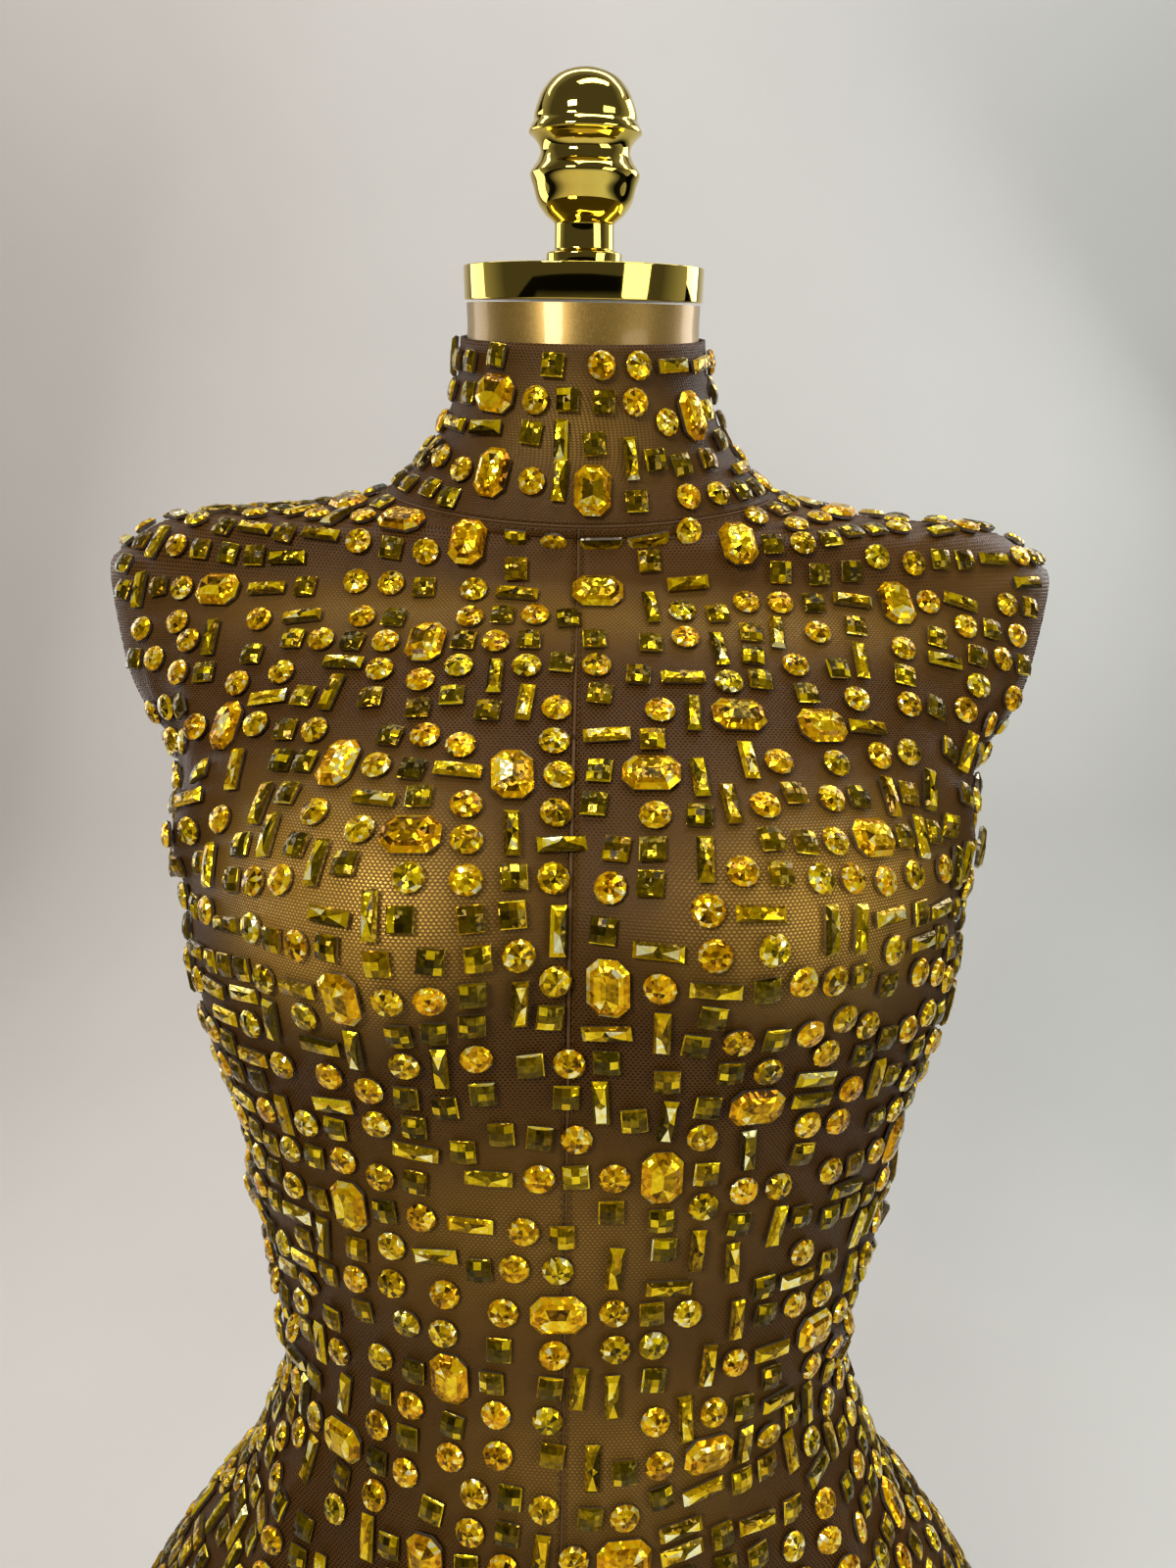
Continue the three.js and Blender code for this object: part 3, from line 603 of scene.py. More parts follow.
def tape_material(net):
    """Woven tape and seam thread: the net's brown, closer, with fine ribs."""
    material, n, shader = new_material("seam tape")
    place = object_place(n)
    wear = place_group(n, "wear", place, Scale=40.0, Fine=1600.0)
    colour = n.mix(wear["Grain"], (*net.thread, 1), (*net.tape, 1))
    n.feed(shader, {
        "Base Color": colour, "Roughness": n.fit(wear["Cloud"], 0, 1, 0.5, 0.7),
        "Specular IOR Level": 0.2, "Normal": bump(n, wear["Grain"], 0.4, 0.0003),
    })
    return material


def stone_material(stone):
    """Foiled glass: every facet has its own tone, a painted reflection, broken up by painted reflections of
    the back facets that show through it, under a clear polished top. The sides are bare silver foil."""
    material, n, shader = new_material("foiled stone")
    place = object_place(n)
    inner = place_group(n, "sparkle", place, Scale=760.0, Tilt=0.3)
    tone, hue, foil = n.attribute("tone"), n.attribute("hue"), n.attribute("foil")
    share = n.fit(hue, 0.1, 0.5, 0.12, 0.28)
    mixed = n.mix_values(share, tone, inner["Tone"])
    # The ramps run from painted dark reflections to bright ones, and end in painted white glints.
    olive = n.ramp(mixed, (
        (0.10, (0.026, 0.017, 0.0005, 1)), (0.30, (0.105, 0.072, 0.0008, 1)), (0.48, (0.30, 0.20, 0.001, 1)),
        (0.65, (0.72, 0.50, 0.0015, 1)), (0.82, (1.0, 0.76, 0.01, 1)), (0.98, (1.0, 1.0, 0.62, 1)),
    ))
    amber = n.ramp(mixed, (
        (0.10, (0.045, 0.016, 0.0005, 1)), (0.30, (0.23, 0.088, 0.0008, 1)), (0.48, (0.68, 0.29, 0.001, 1)),
        (0.65, (1.0, 0.50, 0.0015, 1)), (0.82, (1.0, 0.72, 0.01, 1)), (0.98, (1.0, 0.97, 0.55, 1)),
    ))
    colour = n.mix(foil, n.mix(hue, olive, amber), (*stone.foil, 1))
    n.feed(shader, {
        "Base Color": colour, "Metallic": n.fit(foil, 0, 1, 0.55, 0.9),
        "Roughness": n.fit(foil, 0, 1, 0.13, 0.3), "Specular IOR Level": 0.12,
        "Coat Weight": n.fit(mixed, 0.6, 0.9, 0.05, 0.5), "Coat Roughness": 0.02, "Coat IOR": 1.5,
        "Normal": inner["Facet"],
    })
    return material


def paint_material(stand):
    """Gold paint: fine metal flake under a gloss coat, a little uneven."""
    material, n, shader = new_material("gold paint")
    wear = place_group(n, "wear", object_place(n), Scale=14.0, Fine=2200.0)
    colour = n.mix(wear["Cloud"], (*stand.paint, 1), (*stand.paint_deep, 1))
    flaked = n.mix(n.fit(wear["Grain"], 0.45, 0.75, 0.0, 0.35), colour, (*stand.paint_flake, 1))
    n.feed(shader, {
        "Base Color": flaked, "Metallic": 0.6, "Roughness": n.fit(wear["Grain"], 0.3, 0.7, 0.3, 0.42),
        "Coat Weight": 0.3, "Coat Roughness": 0.08, "Normal": bump(n, wear["Grain"], 0.05, 0.0002),
    })
    return material


def metal_material(name, colour, dull, roughness):
    """Polished or brushed metal: smudges and hairlines vary its gloss."""
    material, n, shader = new_material(name)
    wear = place_group(n, "wear", object_place(n), Scale=22.0, Fine=700.0)
    shade = n.mix(n.math("MULTIPLY", wear["Cloud"], 0.5), (*colour, 1), (*dull, 1))
    n.feed(shader, {
        "Base Color": shade, "Metallic": 1.0,
        "Roughness": n.fit(wear["Grain"], 0.35, 0.75, roughness, roughness * 2.2),
        "Normal": bump(n, wear["Cloud"], 0.03, 0.0006),
    })
    return material


FLOOR_FADE = (1.15, 2.4)  # metres out from the middle, where the floor turns into air
FLOOR_SIDES = (-0.9, 0.9)  # metres sideways, where the left colour turns into the right one, a painted light tint from warm to cool


def floor_material(stage):
    """Pale matt floor with a very faint mottle. Far out in front and to the sides it turns into the pale air,
    so that no edge of it shows."""
    material, n, shader = new_material("pale floor")
    place = object_place(n)
    wear = place_group(n, "wear", place, Scale=1.5, Fine=60.0)
    parts = n.add("ShaderNodeSeparateXYZ", {0: place}).outputs
    out = n.math("MAXIMUM", n.math("ABSOLUTE", parts["X"]), n.math("MULTIPLY", parts["Y"], -1.0))
    far = n.fit(out, *FLOOR_FADE)
    seen = n.add("ShaderNodeLightPath").outputs["Is Camera Ray"]
    # Painted light tint: floor and wall turn from warmer on the left to cooler on the right.
    across = n.fit(parts["X"], *FLOOR_SIDES)
    tint = n.mix(across, (*stage.floor, 1), (*stage.floor_right, 1))
    own = n.mix(n.math("MULTIPLY", wear["Cloud"], 0.07), tint, (0, 0, 0, 1))
    n.feed(shader, {
        "Base Color": n.mix(far, own, (0, 0, 0, 1)),
        "Roughness": n.fit(wear["Grain"], 0.3, 0.7, 0.55, 0.7),
        "Emission Color": n.mix(n.math("MULTIPLY", far, seen), (0, 0, 0, 1), (*stage.air, 1)),
        "Emission Strength": 1.0, "Specular IOR Level": 0.1,
    })
    return material


def shared_material(name):
    """Each material once, by name."""
    scene = bpy.context.scene
    net, stand = scene.dress_net, scene.dress_stand
    makers = {
        "stretch net": lambda: net_material(net),
        "seam tape": lambda: tape_material(net),
        "foiled stone": lambda: stone_material(scene.dress_stones),
        "gold paint": lambda: paint_material(stand),
        "mirror brass": lambda: metal_material("mirror brass", stand.brass, stand.brass_dull, 0.03),
        "satin steel": lambda: metal_material("satin steel", stand.steel, stand.steel_dull, 0.22),
    }
    return bpy.data.materials.get(name) or makers[name]()


def finish_piece(piece, slot, *nodes):
    """Rides a piece on the part and hides the solids that it stands for; its slot is not used."""
    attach(piece, "root")
    if nodes:
        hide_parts(*nodes)
    return piece


# ---------------------------------------------------------------- sizes and colours a user may change


def length(name, description, default):
    return bpy.props.FloatProperty(
        name=name, description=description, default=default, min=0.0, unit="LENGTH",
    )


def angle(name, description, degrees):
    return bpy.props.FloatProperty(
        name=name, description=description, default=math.radians(degrees), subtype="ANGLE",
    )


def colour(name, description, default):
    return bpy.props.FloatVectorProperty(
        name=name, description=description, default=default, size=3, min=0.0, max=1.0, subtype="COLOR",
    )


class DressNetSettings(bpy.types.PropertyGroup):
    """The net and its seams."""

    clear: length("Clearance", "Gap between the form's skin and the net's inner face", 0.0012)
    wall: length("Wall", "Depth of the solid that the net stands for", 0.0018)
    thread_depth: length("Thread depth", "Thickness of the net's own threads", 0.0005)
    step: length("Step", "Largest distance between points of the net", 0.004)
    hole_across: length("Hole pitch across", "Distance between holes along a course", 0.0015)
    hole_up: length("Hole pitch up", "Distance between courses of holes", 0.00098)
    seam_width: length("Seam width", "Width of a seam's ridge", 0.0016)
    stitch: length("Stitch", "Length of one stitch", 0.0022)
    thread: colour("Thread", "Colour of the net", (0.075, 0.0295, 0.0035))
    thread_light: colour("Light thread", "Lighter patches of the net", (0.093, 0.0385, 0.005))
    # Painted light: the stretched thread's lighter brown is a painted highlight, the gap colour is painted
    # shade in the holes, and the gold seen through stretched holes is painted far brighter than the paint, as
    # a highlight of the lit form.
    thread_stretched_lit: colour("Stretched thread", "The net where it is stretched thin", (0.225, 0.112, 0.02))
    gap: colour("Gap", "Colour in holes that have shade behind them", (0.016, 0.0058, 0.0008))
    hole_highlight: colour("Glow", "Gold paint seen through the holes of stretched net", (0.86, 0.52, 0.09))
    tape: colour("Tape", "Lighter colour of tape and thread", (0.12, 0.065, 0.026))


class DressStoneSettings(bpy.types.PropertyGroup):
    """The stones and how they are spread."""

    gap: length("Gap", "Smallest distance between two stones", 0.0021)
    loose: length("Loose", "How much wider than that a gap may be", 0.0017)
    sway: angle("Sway", "Largest turn of a stone off the grain", 7)
    seed: bpy.props.IntProperty(name="Seed", description="Changes the order of the small stones", default=11)
    foil: colour("Foil", "Silver backing seen at a stone's side", (0.42, 0.38, 0.30))


class DressStandSettings(bpy.types.PropertyGroup):
    """The form and its stand."""

    paint: colour("Paint", "Gold paint", (0.26, 0.155, 0.028))
    paint_deep: colour("Deep paint", "Darker patches of the paint", (0.185, 0.108, 0.018))
    paint_flake: colour("Flake", "Metal flake in the paint", (0.62, 0.41, 0.11))
    brass: colour("Brass", "Polished brass", (0.79, 0.60, 0.11))
    brass_dull: colour("Dull brass", "Smudged brass", (0.66, 0.49, 0.09))
    steel: colour("Steel", "Satin steel", (0.55, 0.55, 0.56))
    steel_dull: colour("Dull steel", "Smudged steel", (0.42, 0.42, 0.43))


class DressStageSettings(bpy.types.PropertyGroup):
    """Floor, lights and camera."""

    # Painted light tint: the left colour is warmer and the right one cooler, as light falls on them.
    floor: colour("Floor", "Floor and wall, to the left", (0.655, 0.615, 0.575))
    floor_right: colour("Right of floor", "Floor and wall, to the right", (0.65, 0.655, 0.625))
    air: colour("Air", "Pale background past the floor", (0.50, 0.47, 0.435))
    key: bpy.props.FloatProperty(name="Key light", description="Power in watts", default=20.0, min=0.0)
    eye: bpy.props.FloatVectorProperty(
        name="Camera", description="Where the camera stands", default=(0.0047, -0.393, 0.811), unit="LENGTH",
    )
    lens: bpy.props.FloatProperty(name="Lens", description="Focal length in mm", default=22.5, min=1.0)
    pitch: angle("Pitch", "Downward tilt", 5)
    roll: angle("Roll", "Sideways tilt", 0.9)


# ---------------------------------------------------------------- the form and its stand


# The form's skin: its step, how far it lies inside the body's own, and the columns of an arc and an arm face.
FORM = {"step": 4.5, "inset": 0.35, "arc": 90, "face": 22, "sharp": 38}


def form_rings(row, inset, side_columns, face_columns):
    """Closed rings of the form: the front arc, a straight run across each arm face, and the back arc. Rings
    that don't reach the arm face have that run shut at the side."""

    def surface(turn, at):
        return skin(turn, at) - surface_frame(skin, turn, at)[2] * inset

    front = {s: arm_turn(surface, row, s, FORE_START, math.pi / 2, 0) for s in (-1, 1)}
    back = {s: arm_turn(surface, row, s, AFT_START, math.pi / 2, 0) for s in (-1, 1)}
    w = np.linspace(0, 1, side_columns + 1)
    arc = -front[-1][:, None] + (front[1] + front[-1])[:, None] * w
    fore = surface(arc, row[:, None])
    arc = back[1][:, None] + (2 * math.pi - back[-1] - back[1])[:, None] * w
    aft = surface(arc, row[:, None])
    across = np.linspace(0, 1, face_columns + 1)[1:-1, None]
    right = fore[:, -1:, :] * (1 - across) + aft[:, :1, :] * across
    left = aft[:, -1:, :] * (1 - across) + fore[:, :1, :] * across
    return np.concatenate([fore, right, aft, left], 1)


class DRESS_OT_form(bpy.types.Operator):
    """Build the gold dress form"""

    bl_idname = "dress.form"
    bl_label = "Form"

    def execute(self, context):
        row = fine_rows(FORM_BOTTOM_ROW, LAST_ROW, FORM["step"])
        rings = form_rings(row, FORM["inset"], FORM["arc"], FORM["face"])
        points, faces = capped(rings, rings[0].mean(0), rings[-1].mean(0))
        form = new_mesh("form_skin", points, faces, shared_material("gold paint"))
        merge_doubles(form.data)
        form.data.set_sharp_from_angle(angle=math.radians(FORM["sharp"]))
        finish_piece(form, "gold_paint", "form_torso")
        return {"FINISHED"}


def merge_doubles(mesh, distance=1e-5):
    """Welds points that share a place and turns every face outwards."""
    work = bmesh.new()
    work.from_mesh(mesh)
    bmesh.ops.remove_doubles(work, verts=work.verts, dist=distance)
    bmesh.ops.dissolve_degenerate(work, edges=work.edges, dist=distance)
    bmesh.ops.recalc_face_normals(work, faces=work.faces)
    work.to_mesh(mesh)
    work.free()


CAP = {"radius": 46.5, "tall": 12, "rim": 1.2, "clear": 0.8, "gap": 0.3}
POLE = {"radius": 16, "collar": 30, "collar_tall": 14, "collar_slope": 4, "neck": 22}
BASE = {"radius": 150, "tall": 14, "edge": 3}
FINIAL_FOOT = [(0, 0), (14.6, 0), (14.6, 4.6), (11.5, 5.6), (11.3, 14.5)]
FINIAL_KNOB = [
    (14.9, 17.2), (17.8, 21.2), (19.4, 26.4), (20.6, 30), (20, 31.7), (18, 34.4), (16.7, 37.4),
    (17.4, 39.9), (19.4, 42.1), (20.9, 43.4), (20.2, 45.3), (19.1, 47), (18.8, 49.4), (17.7, 52.6),
    (15.6, 56.6), (11.8, 60.4), (6.2, 62.9), (0, 63.6),
]


class DRESS_OT_stand(bpy.types.Operator):
    """Build the cap, knob, pole and base"""

    bl_idname = "dress.stand"
    bl_label = "Stand"

    def execute(self, context):
        brass, steel = shared_material("mirror brass"), shared_material("satin steel")
        neck = dict(zip(BODY_COLUMNS, BODY_ROWS[-1]))
        lean = math.atan((neck["back"] - neck["front"]) / (neck["fore"] + neck["aft"]))
        seat = Matrix.Translation((0, neck["shift"], neck["side"])) @ Matrix.Rotation(lean, 4, "X")
        r, t, e = CAP["radius"], CAP["tall"], CAP["rim"]
        rim = rounded([(0, 0), (r - e, 0), (r, 0), (r, t), (r - e, t), (0, t)], e, 5)
        cap = turned("cap_disc", rim, 160, brass, seat @ Matrix.Translation((0, 0, CAP["clear"])), 50)
        finish_piece(cap, "brass", "neck_cap")
        foot = rounded(FINIAL_FOOT + FINIAL_KNOB[:1], 0.7)[:-1]
        profile = np.concatenate([foot, smooth_profile(FINIAL_KNOB, 5)])
        profile[:, 0] = np.maximum(profile[:, 0], 0)
        lift = CAP["clear"] + CAP["tall"] + CAP["gap"]
        knob = turned("turned_knob", profile, 96, brass, seat @ Matrix.Translation((0, 0, lift)), 40)
        finish_piece(knob, "brass", "finial")
        low = BASE["tall"] + CAP["gap"]
        high = low + POLE["collar_tall"]
        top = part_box("pole")[1].z / MM
        shaft = rounded([
            (0, low), (POLE["collar"], low), (POLE["collar"], high - POLE["collar_slope"]),
            (POLE["neck"], high), (POLE["radius"], high), (POLE["radius"], top), (0, top),
        ], 1.2)
        pole = turned("steel_pole", shaft, 96, steel, Matrix.Identity(4), 45)
        finish_piece(pole, "steel", "pole")
        r, t, e = BASE["radius"], BASE["tall"], BASE["edge"]
        plate = rounded([(0, 0), (r - e, 0), (r, e), (r, t - e), (r - e, t), (0, t)], 2.0)
        base = turned("base_plate", plate, 160, steel, Matrix.Identity(4), 45)
        finish_piece(base, "steel", "base")
        return {"FINISHED"}


# ---------------------------------------------------------------- the net


# Name, whether it is in front, and its side.
PANELS = (
    ("front_right", True, 1), ("front_left", True, -1), ("back_right", False, 1), ("back_left", False, -1),
)
PANEL_COLUMNS = 64
COLLAR_COLUMNS = 120
# At the armholes the net goes see-through, over this many millimetres from their edges.
EDGE_FADE = {"start": 1.4, "over": 6}
# Over the shoulders, where it is least stretched, its holes are small. They close over a row or so.
DENSE = {"row": 14.6, "over": 1.2, "collar_row": COLLAR_SEAM_ROW + 1, "collar_over": 1.5}


def sheet_piece(name, turn, row, net, centre=None):
    """A grid of the net over turn and row, with its UV as lengths along it, and how open and dense it is."""
    half_wall = (net.wall - net.thread_depth) / MM / 2
    clear = net.clear / MM
    points = cloth(turn, row, half_wall, clear, creases=True)
    if centre is not None:
        side, gap = centre
        points[..., 0] = side * np.maximum(side * points[..., 0], gap[:, None])
    stretch = np.linalg.norm(np.diff(points, axis=1), axis=-1)
    along = np.concatenate([np.zeros((len(points), 1)), np.cumsum(stretch, 1)], 1)
    if turn[0, 0] < 0 and centre is not None:
        along = along - along[:, -1:]
    middle = points[:, 0 if (turn[0, 0] >= 0) else -1]
    rise = np.concatenate([[0], np.cumsum(np.linalg.norm(np.diff(middle, axis=0), axis=-1))])
    uv = np.stack([along, np.broadcast_to(rise[:, None], along.shape)], -1) * MM
    piece = new_mesh(name, points, grid_faces(*turn.shape), shared_material("stretch net"))
    lay_uv(piece, uv)
    height = points[..., 2]
    # Painted highlight: where the net is stretched onto the form, its holes and threads are painted bright
    # for the lit paint under them.
    touch_lit = spot_sum(TOUCH_LIT_SPOTS, turn, row, height)
    edge = arm_face(height) + ARMHOLE_PROUD - np.abs(points[..., 0])
    fade = np.clip(EDGE_FADE["start"] - edge / EDGE_FADE["over"], 0, 1)
    open_edge = np.where(height > ARM_FACE["lowest"], fade, 0)
    mark(piece, "touch_lit", np.clip(touch_lit * (1 - open_edge), 0, 1))
    mark(piece, "open_edge", open_edge)
    dense = np.clip((row - DENSE["row"]) / DENSE["over"], 0, 1)
    dense = dense * np.clip((DENSE["collar_row"] - row) / DENSE["collar_over"], 0, 1)
    mark(piece, "dense", np.clip(dense * (1 - open_edge), 0, 1))
    return piece


def thicken(piece, depth):
    """Gives the sheet its threads' depth, both ways from its middle, with closed edges."""
    solid = piece.modifiers.new("thickness", "SOLIDIFY")
    solid.thickness = depth
    solid.offset = 0.0
    solid.use_even_offset = False


def panel_turns(is_front, side, row, columns, net):
    """Turns of one panel's grid, growing along it, between its centre edge and its side seam or armhole, and
    the half gap at its centre edge."""
    ring = smooth_rows(row)
    half, fore, aft = ring[:, 3], ring[:, 4], ring[:, 5]
    seam = SEAM_GAP / 2 / ((fore + aft) / 2)
    gap = np.where((not is_front) & (row > ZIP_GAP_ROW), ZIP_WIDTH / 2 + SEAM_GAP, SEAM_GAP / 2)
    centre = gap / half if is_front else math.pi - gap / half
    start = FORE_START if is_front else AFT_START
    side_turn = math.pi / 2 + (-seam if is_front else seam)
    edge = arm_turn(net_face(net), row, side, start, side_turn, ARMHOLE_PROUD)
    first, last = (centre, edge) if is_front else (edge, centre)
    w = np.linspace(0, 1, columns + 1)
    turns = side * (first[:, None] * (1 - w) + last[:, None] * w)
    return (turns if side > 0 else turns[:, ::-1]), gap


class DRESS_OT_panels(bpy.types.Operator):
    """Build the front and back panels of stretch net"""

    bl_idname = "dress.panels"
    bl_label = "Panels"

    def execute(self, context):
        net = context.scene.dress_net
        row = fine_rows(0, COLLAR_SEAM_ROW - SHORT_OF, net.step / MM)
        for name, is_front, side in PANELS:
            turn, gap = panel_turns(is_front, side, row, PANEL_COLUMNS, net)
            rows = np.broadcast_to(row[:, None], turn.shape)
            panel = sheet_piece(f"net_{name}", turn, rows, net, (side, gap))
            thicken(panel, net.thread_depth)
            finish_piece(panel, "stretch_net", name)
        return {"FINISHED"}


class DRESS_OT_collar(bpy.types.Operator):
    """Build the stand collar"""

    bl_idname = "dress.collar"
    bl_label = "Collar"

    def execute(self, context):
        net = context.scene.dress_net
        row = fine_rows(COLLAR_SEAM_ROW + SHORT_OF, COLLAR_TOP_ROW, SEAM_STEP)
        end = math.pi - (ZIP_WIDTH / 2 + SEAM_GAP) / smooth_rows(row)[:, 3]
        turn = -end[:, None] + 2 * end[:, None] * np.linspace(0, 1, COLLAR_COLUMNS + 1)
        collar = sheet_piece("net_collar", turn, np.broadcast_to(row[:, None], turn.shape), net)
        thicken(collar, net.thread_depth)
        finish_piece(collar, "stretch_net", "collar")
        return {"FINISHED"}


# ---------------------------------------------------------------- seams and the zip


# Ridges that lie on the net, as points of across and out: a seam's, the hem's and the zip's two lips.
SEAM_SECTION = [(-0.5, -0.2), (-0.3, 0.1), (0, 0.18), (0.3, 0.1), (0.5, -0.2), (0, -0.4)]
HEM_SECTION = [(-6.8, -0.3), (-6.8, 0.35), (0, 0.45), (6.6, 0.35), (6.6, -0.3), (0, -0.4)]
ZIP_SECTION = [
    (-2, -0.5), (-2, 0.6), (-1.1, 1.1), (-0.25, 0.9), (0, 0.2), (0.25, 0.9), (1.1, 1.1), (2, 0.6), (2, -0.5),
]
RIDGE_SHARP = 50
HEM_ROW = 0.11
# Where the rows of stitches lie beside a ridge's middle, and how far each stands out from the ridge's lift.
STITCH_ROWS = {"seam": (-1.3, 1.3), "hem": (-5.2, 4.6), "zip": (-3.4, 3.4)}
STITCH_LIFT = {"seam": 0.1, "hem": 0.55, "zip": 0.6}
STITCH = {"pitch": 3.0, "wide": 0.28, "tall": 0.22}  # one stitch's pitch, half width and half height


def ribbon(name, turn, row, section, material, lift, closed=False):
    """A section of across and out, in millimetres, carried along a path of turns and rows on the net."""
    section = np.array(section, float)
    centre = cloth(turn, row, lift, creases=True)
    _, _, normal = surface_frame(lambda a, b: cloth(a, b, lift, creases=True), turn, row)
    ahead = unit(np.gradient(centre, axis=0))
    across = unit(np.cross(normal, ahead))
    points = centre[:, None] + across[:, None] * section[None, :, :1] + normal[:, None] * section[None, :, 1:]
    faces = grid_faces(len(turn), len(section), True)[:, ::-1].tolist()
    if not closed:
        faces.append(list(range(len(section))))
        faces.append(list(range(len(turn) * len(section) - 1, (len(turn) - 1) * len(section) - 1, -1)))
    else:
        last = (len(turn) - 1) * len(section)
        for k in range(len(section)):
            after = (k + 1) % len(section)
            faces.append([k, after, last + after, last + k])
    piece = new_mesh(name, points, faces, material)
    merge_doubles(piece.data)
    piece.data.set_sharp_from_angle(angle=math.radians(RIDGE_SHARP))
    return piece


def stitch_row(turn, row, length_mm, lift, aside):
    """Stitches along a path: each is a lozenge of eight faces, longer than wide, laid on the net."""
    pitch = STITCH["pitch"]
    path = cloth(turn, row, lift, creases=True)
    run = np.concatenate([[0], np.cumsum(np.linalg.norm(np.diff(path, axis=0), axis=-1))])
    at = np.arange(pitch / 2, run[-1], pitch)
    turns, rows = np.interp(at, run, turn), np.interp(at, run, row)
    centre = cloth(turns, rows, lift, creases=True)
    _, _, normal = surface_frame(lambda a, b: cloth(a, b, lift), turns, rows)
    ahead = unit(np.stack([np.interp(at, run, np.gradient(path[:, k])) for k in range(3)], -1))
    across = unit(np.cross(normal, ahead))
    centre = centre + across * aside
    half, wide, tall = length_mm / 2, STITCH["wide"], STITCH["tall"]
    corners = [ahead * half, across * wide, -ahead * half, -across * wide, normal * tall, -normal * tall]
    points = np.stack([centre + corner for corner in corners], 1)
    faces = np.array([(0, 1, 4), (1, 2, 4), (2, 3, 4), (3, 0, 4), (1, 0, 5), (2, 1, 5), (3, 2, 5), (0, 3, 5)])
    return points.reshape(-1, 3), (faces[None] + 6 * np.arange(len(at))[:, None, None]).reshape(-1, 3)


def joined(parts):
    """Several arrays of points and faces as one."""
    points, faces, start = [], [], 0
    for part_points, part_faces in parts:
        points.append(part_points)
        faces.append(np.asarray(part_faces) + start)
        start += len(part_points)
    return np.concatenate(points), np.concatenate(faces)


def seam_paths(net):
    """The seams as paths of turns and rows: centre front, both sides and shoulders, and the collar."""
    body = fine_rows(0.02, COLLAR_SEAM_ROW - 0.05, SEAM_STEP)
    paths = {"front": (np.zeros(len(body)), body)}
    for name, side in (("left", -1), ("right", 1)):
        turn = np.full(len(body), side * math.pi / 2)
        edge = net_face(net)(turn, body)
        outside = np.abs(edge[:, 0]) > arm_face(edge[:, 2])
        stop = int(np.argmax((edge[:, 2] > ARM_FACE["lowest"]) & outside))
        paths[name] = (turn[:stop], body[:stop])
        # The shoulder seam goes on from the top of the armhole to the collar.
        top = ~outside & (body > SHOULDER_END_ROW)
        paths[f"{name}_shoulder"] = (turn[top], body[top])
    count = 260
    round_turn = np.linspace(-math.pi + 0.05, math.pi - 0.05, count)
    paths["collar"] = (round_turn, np.full(count, float(COLLAR_SEAM_ROW)))
    return paths


def stitched(kind, turn, row, net, lift):
    """Two rows of stitches beside a ridge of one kind, as a list of points and faces."""
    asides, length_mm = STITCH_ROWS[kind], net.stitch / MM
    return [stitch_row(turn, row, length_mm, lift + STITCH_LIFT[kind], aside) for aside in asides]


class DRESS_OT_seams(bpy.types.Operator):
    """Build the seams' ridges, the hem and their stitches"""

    bl_idname = "dress.seams"
    bl_label = "Seams"

    def execute(self, context):
        net = context.scene.dress_net
        tape = shared_material("seam tape")
        outer = (net.wall + net.thread_depth) / MM / 2
        stitches = []
        for name, (turn, row) in seam_paths(net).items():
            finish_piece(ribbon(f"seam_{name}", turn, row, SEAM_SECTION, tape, outer), "zip_tape")
            stitches += stitched("seam", turn, row, net, outer)
        turn = np.linspace(-math.pi, math.pi, 321)[:-1]
        row = np.full(len(turn), HEM_ROW)
        finish_piece(ribbon("hem_band", turn, row, HEM_SECTION, tape, outer, closed=True), "zip_tape")
        stitches += stitched("hem", turn, row, net, outer)
        points, faces = joined(stitches)
        finish_piece(new_mesh("seam_stitches", points, faces, tape, smooth=False), "zip_tape")
        return {"FINISHED"}


class DRESS_OT_zip(bpy.types.Operator):
    """Build the invisible zip of the centre back"""

    bl_idname = "dress.zip"
    bl_label = "Zip"

    def execute(self, context):
        net = context.scene.dress_net
        tape = shared_material("seam tape")
        row = fine_rows(ZIP_BOTTOM_ROW, COLLAR_TOP_ROW - 0.02, SEAM_STEP)
        turn = np.full(len(row), math.pi)
        lift = net.wall / MM / 2
        finish_piece(ribbon("zip_lips", turn, row, ZIP_SECTION, tape, lift), "zip_tape", "back_zip")
        points, faces = joined(stitched("zip", turn, row, net, lift))
        finish_piece(new_mesh("zip_stitches", points, faces, tape, smooth=False), "zip_tape")
        return {"FINISHED"}


# ---------------------------------------------------------------- the stones

KINDS = ("round", "square", "baguette", "octagon")
STONE_LONG = {"round": 10.0, "square": 8.0, "baguette": 15.0, "octagon": 18.0}
STONE_SHORT = {"round": 10.0, "square": 8.0, "baguette": 5.0, "octagon": 13.0}
SIDE = -1.0  # the tone that marks a stone's foiled side
STONE_CLEAR = 0.1  # how far a stone's foot stands off the net's threads
HEM_TOP = 0.22  # the row up to which the hem is bare of stones
EDGE_BARE = 1.2  # the least distance from an armhole's edge to a stone
ZIP_BARE = 3.6  # the same from the middle of the zip
OTHER_SIDE = 14  # stones that lie deeper than this below one another are on different sides of the dress


def ring_points(radius, count, height, start=0.0):
    """Points evenly round a level circle."""
    turn = start + np.arange(count) * 2 * math.pi / count
    return np.stack([radius * np.cos(turn), radius * np.sin(turn), np.full(count, float(height))], -1)


def outline_points(half_long, half_short, corner, height):
    """Eight corners of a rectangle with its corners cut, anticlockwise from the right."""
    a, b, k = half_long, half_short, corner
    right = [(a, -b + k), (a, b - k), (a - k, b)]
    left = [(-a + k, b), (-a, b - k), (-a, -b + k), (-a + k, -b)]
    return np.array([(x, y, height) for x, y in [*right, *left, (a - k, -b)]], float)


def band_faces(first, second, count):
    """Quads between two rings of points that start at first and second."""
    return [(first + k, first + (k + 1) % count, second + (k + 1) % count, second + k) for k in range(count)]


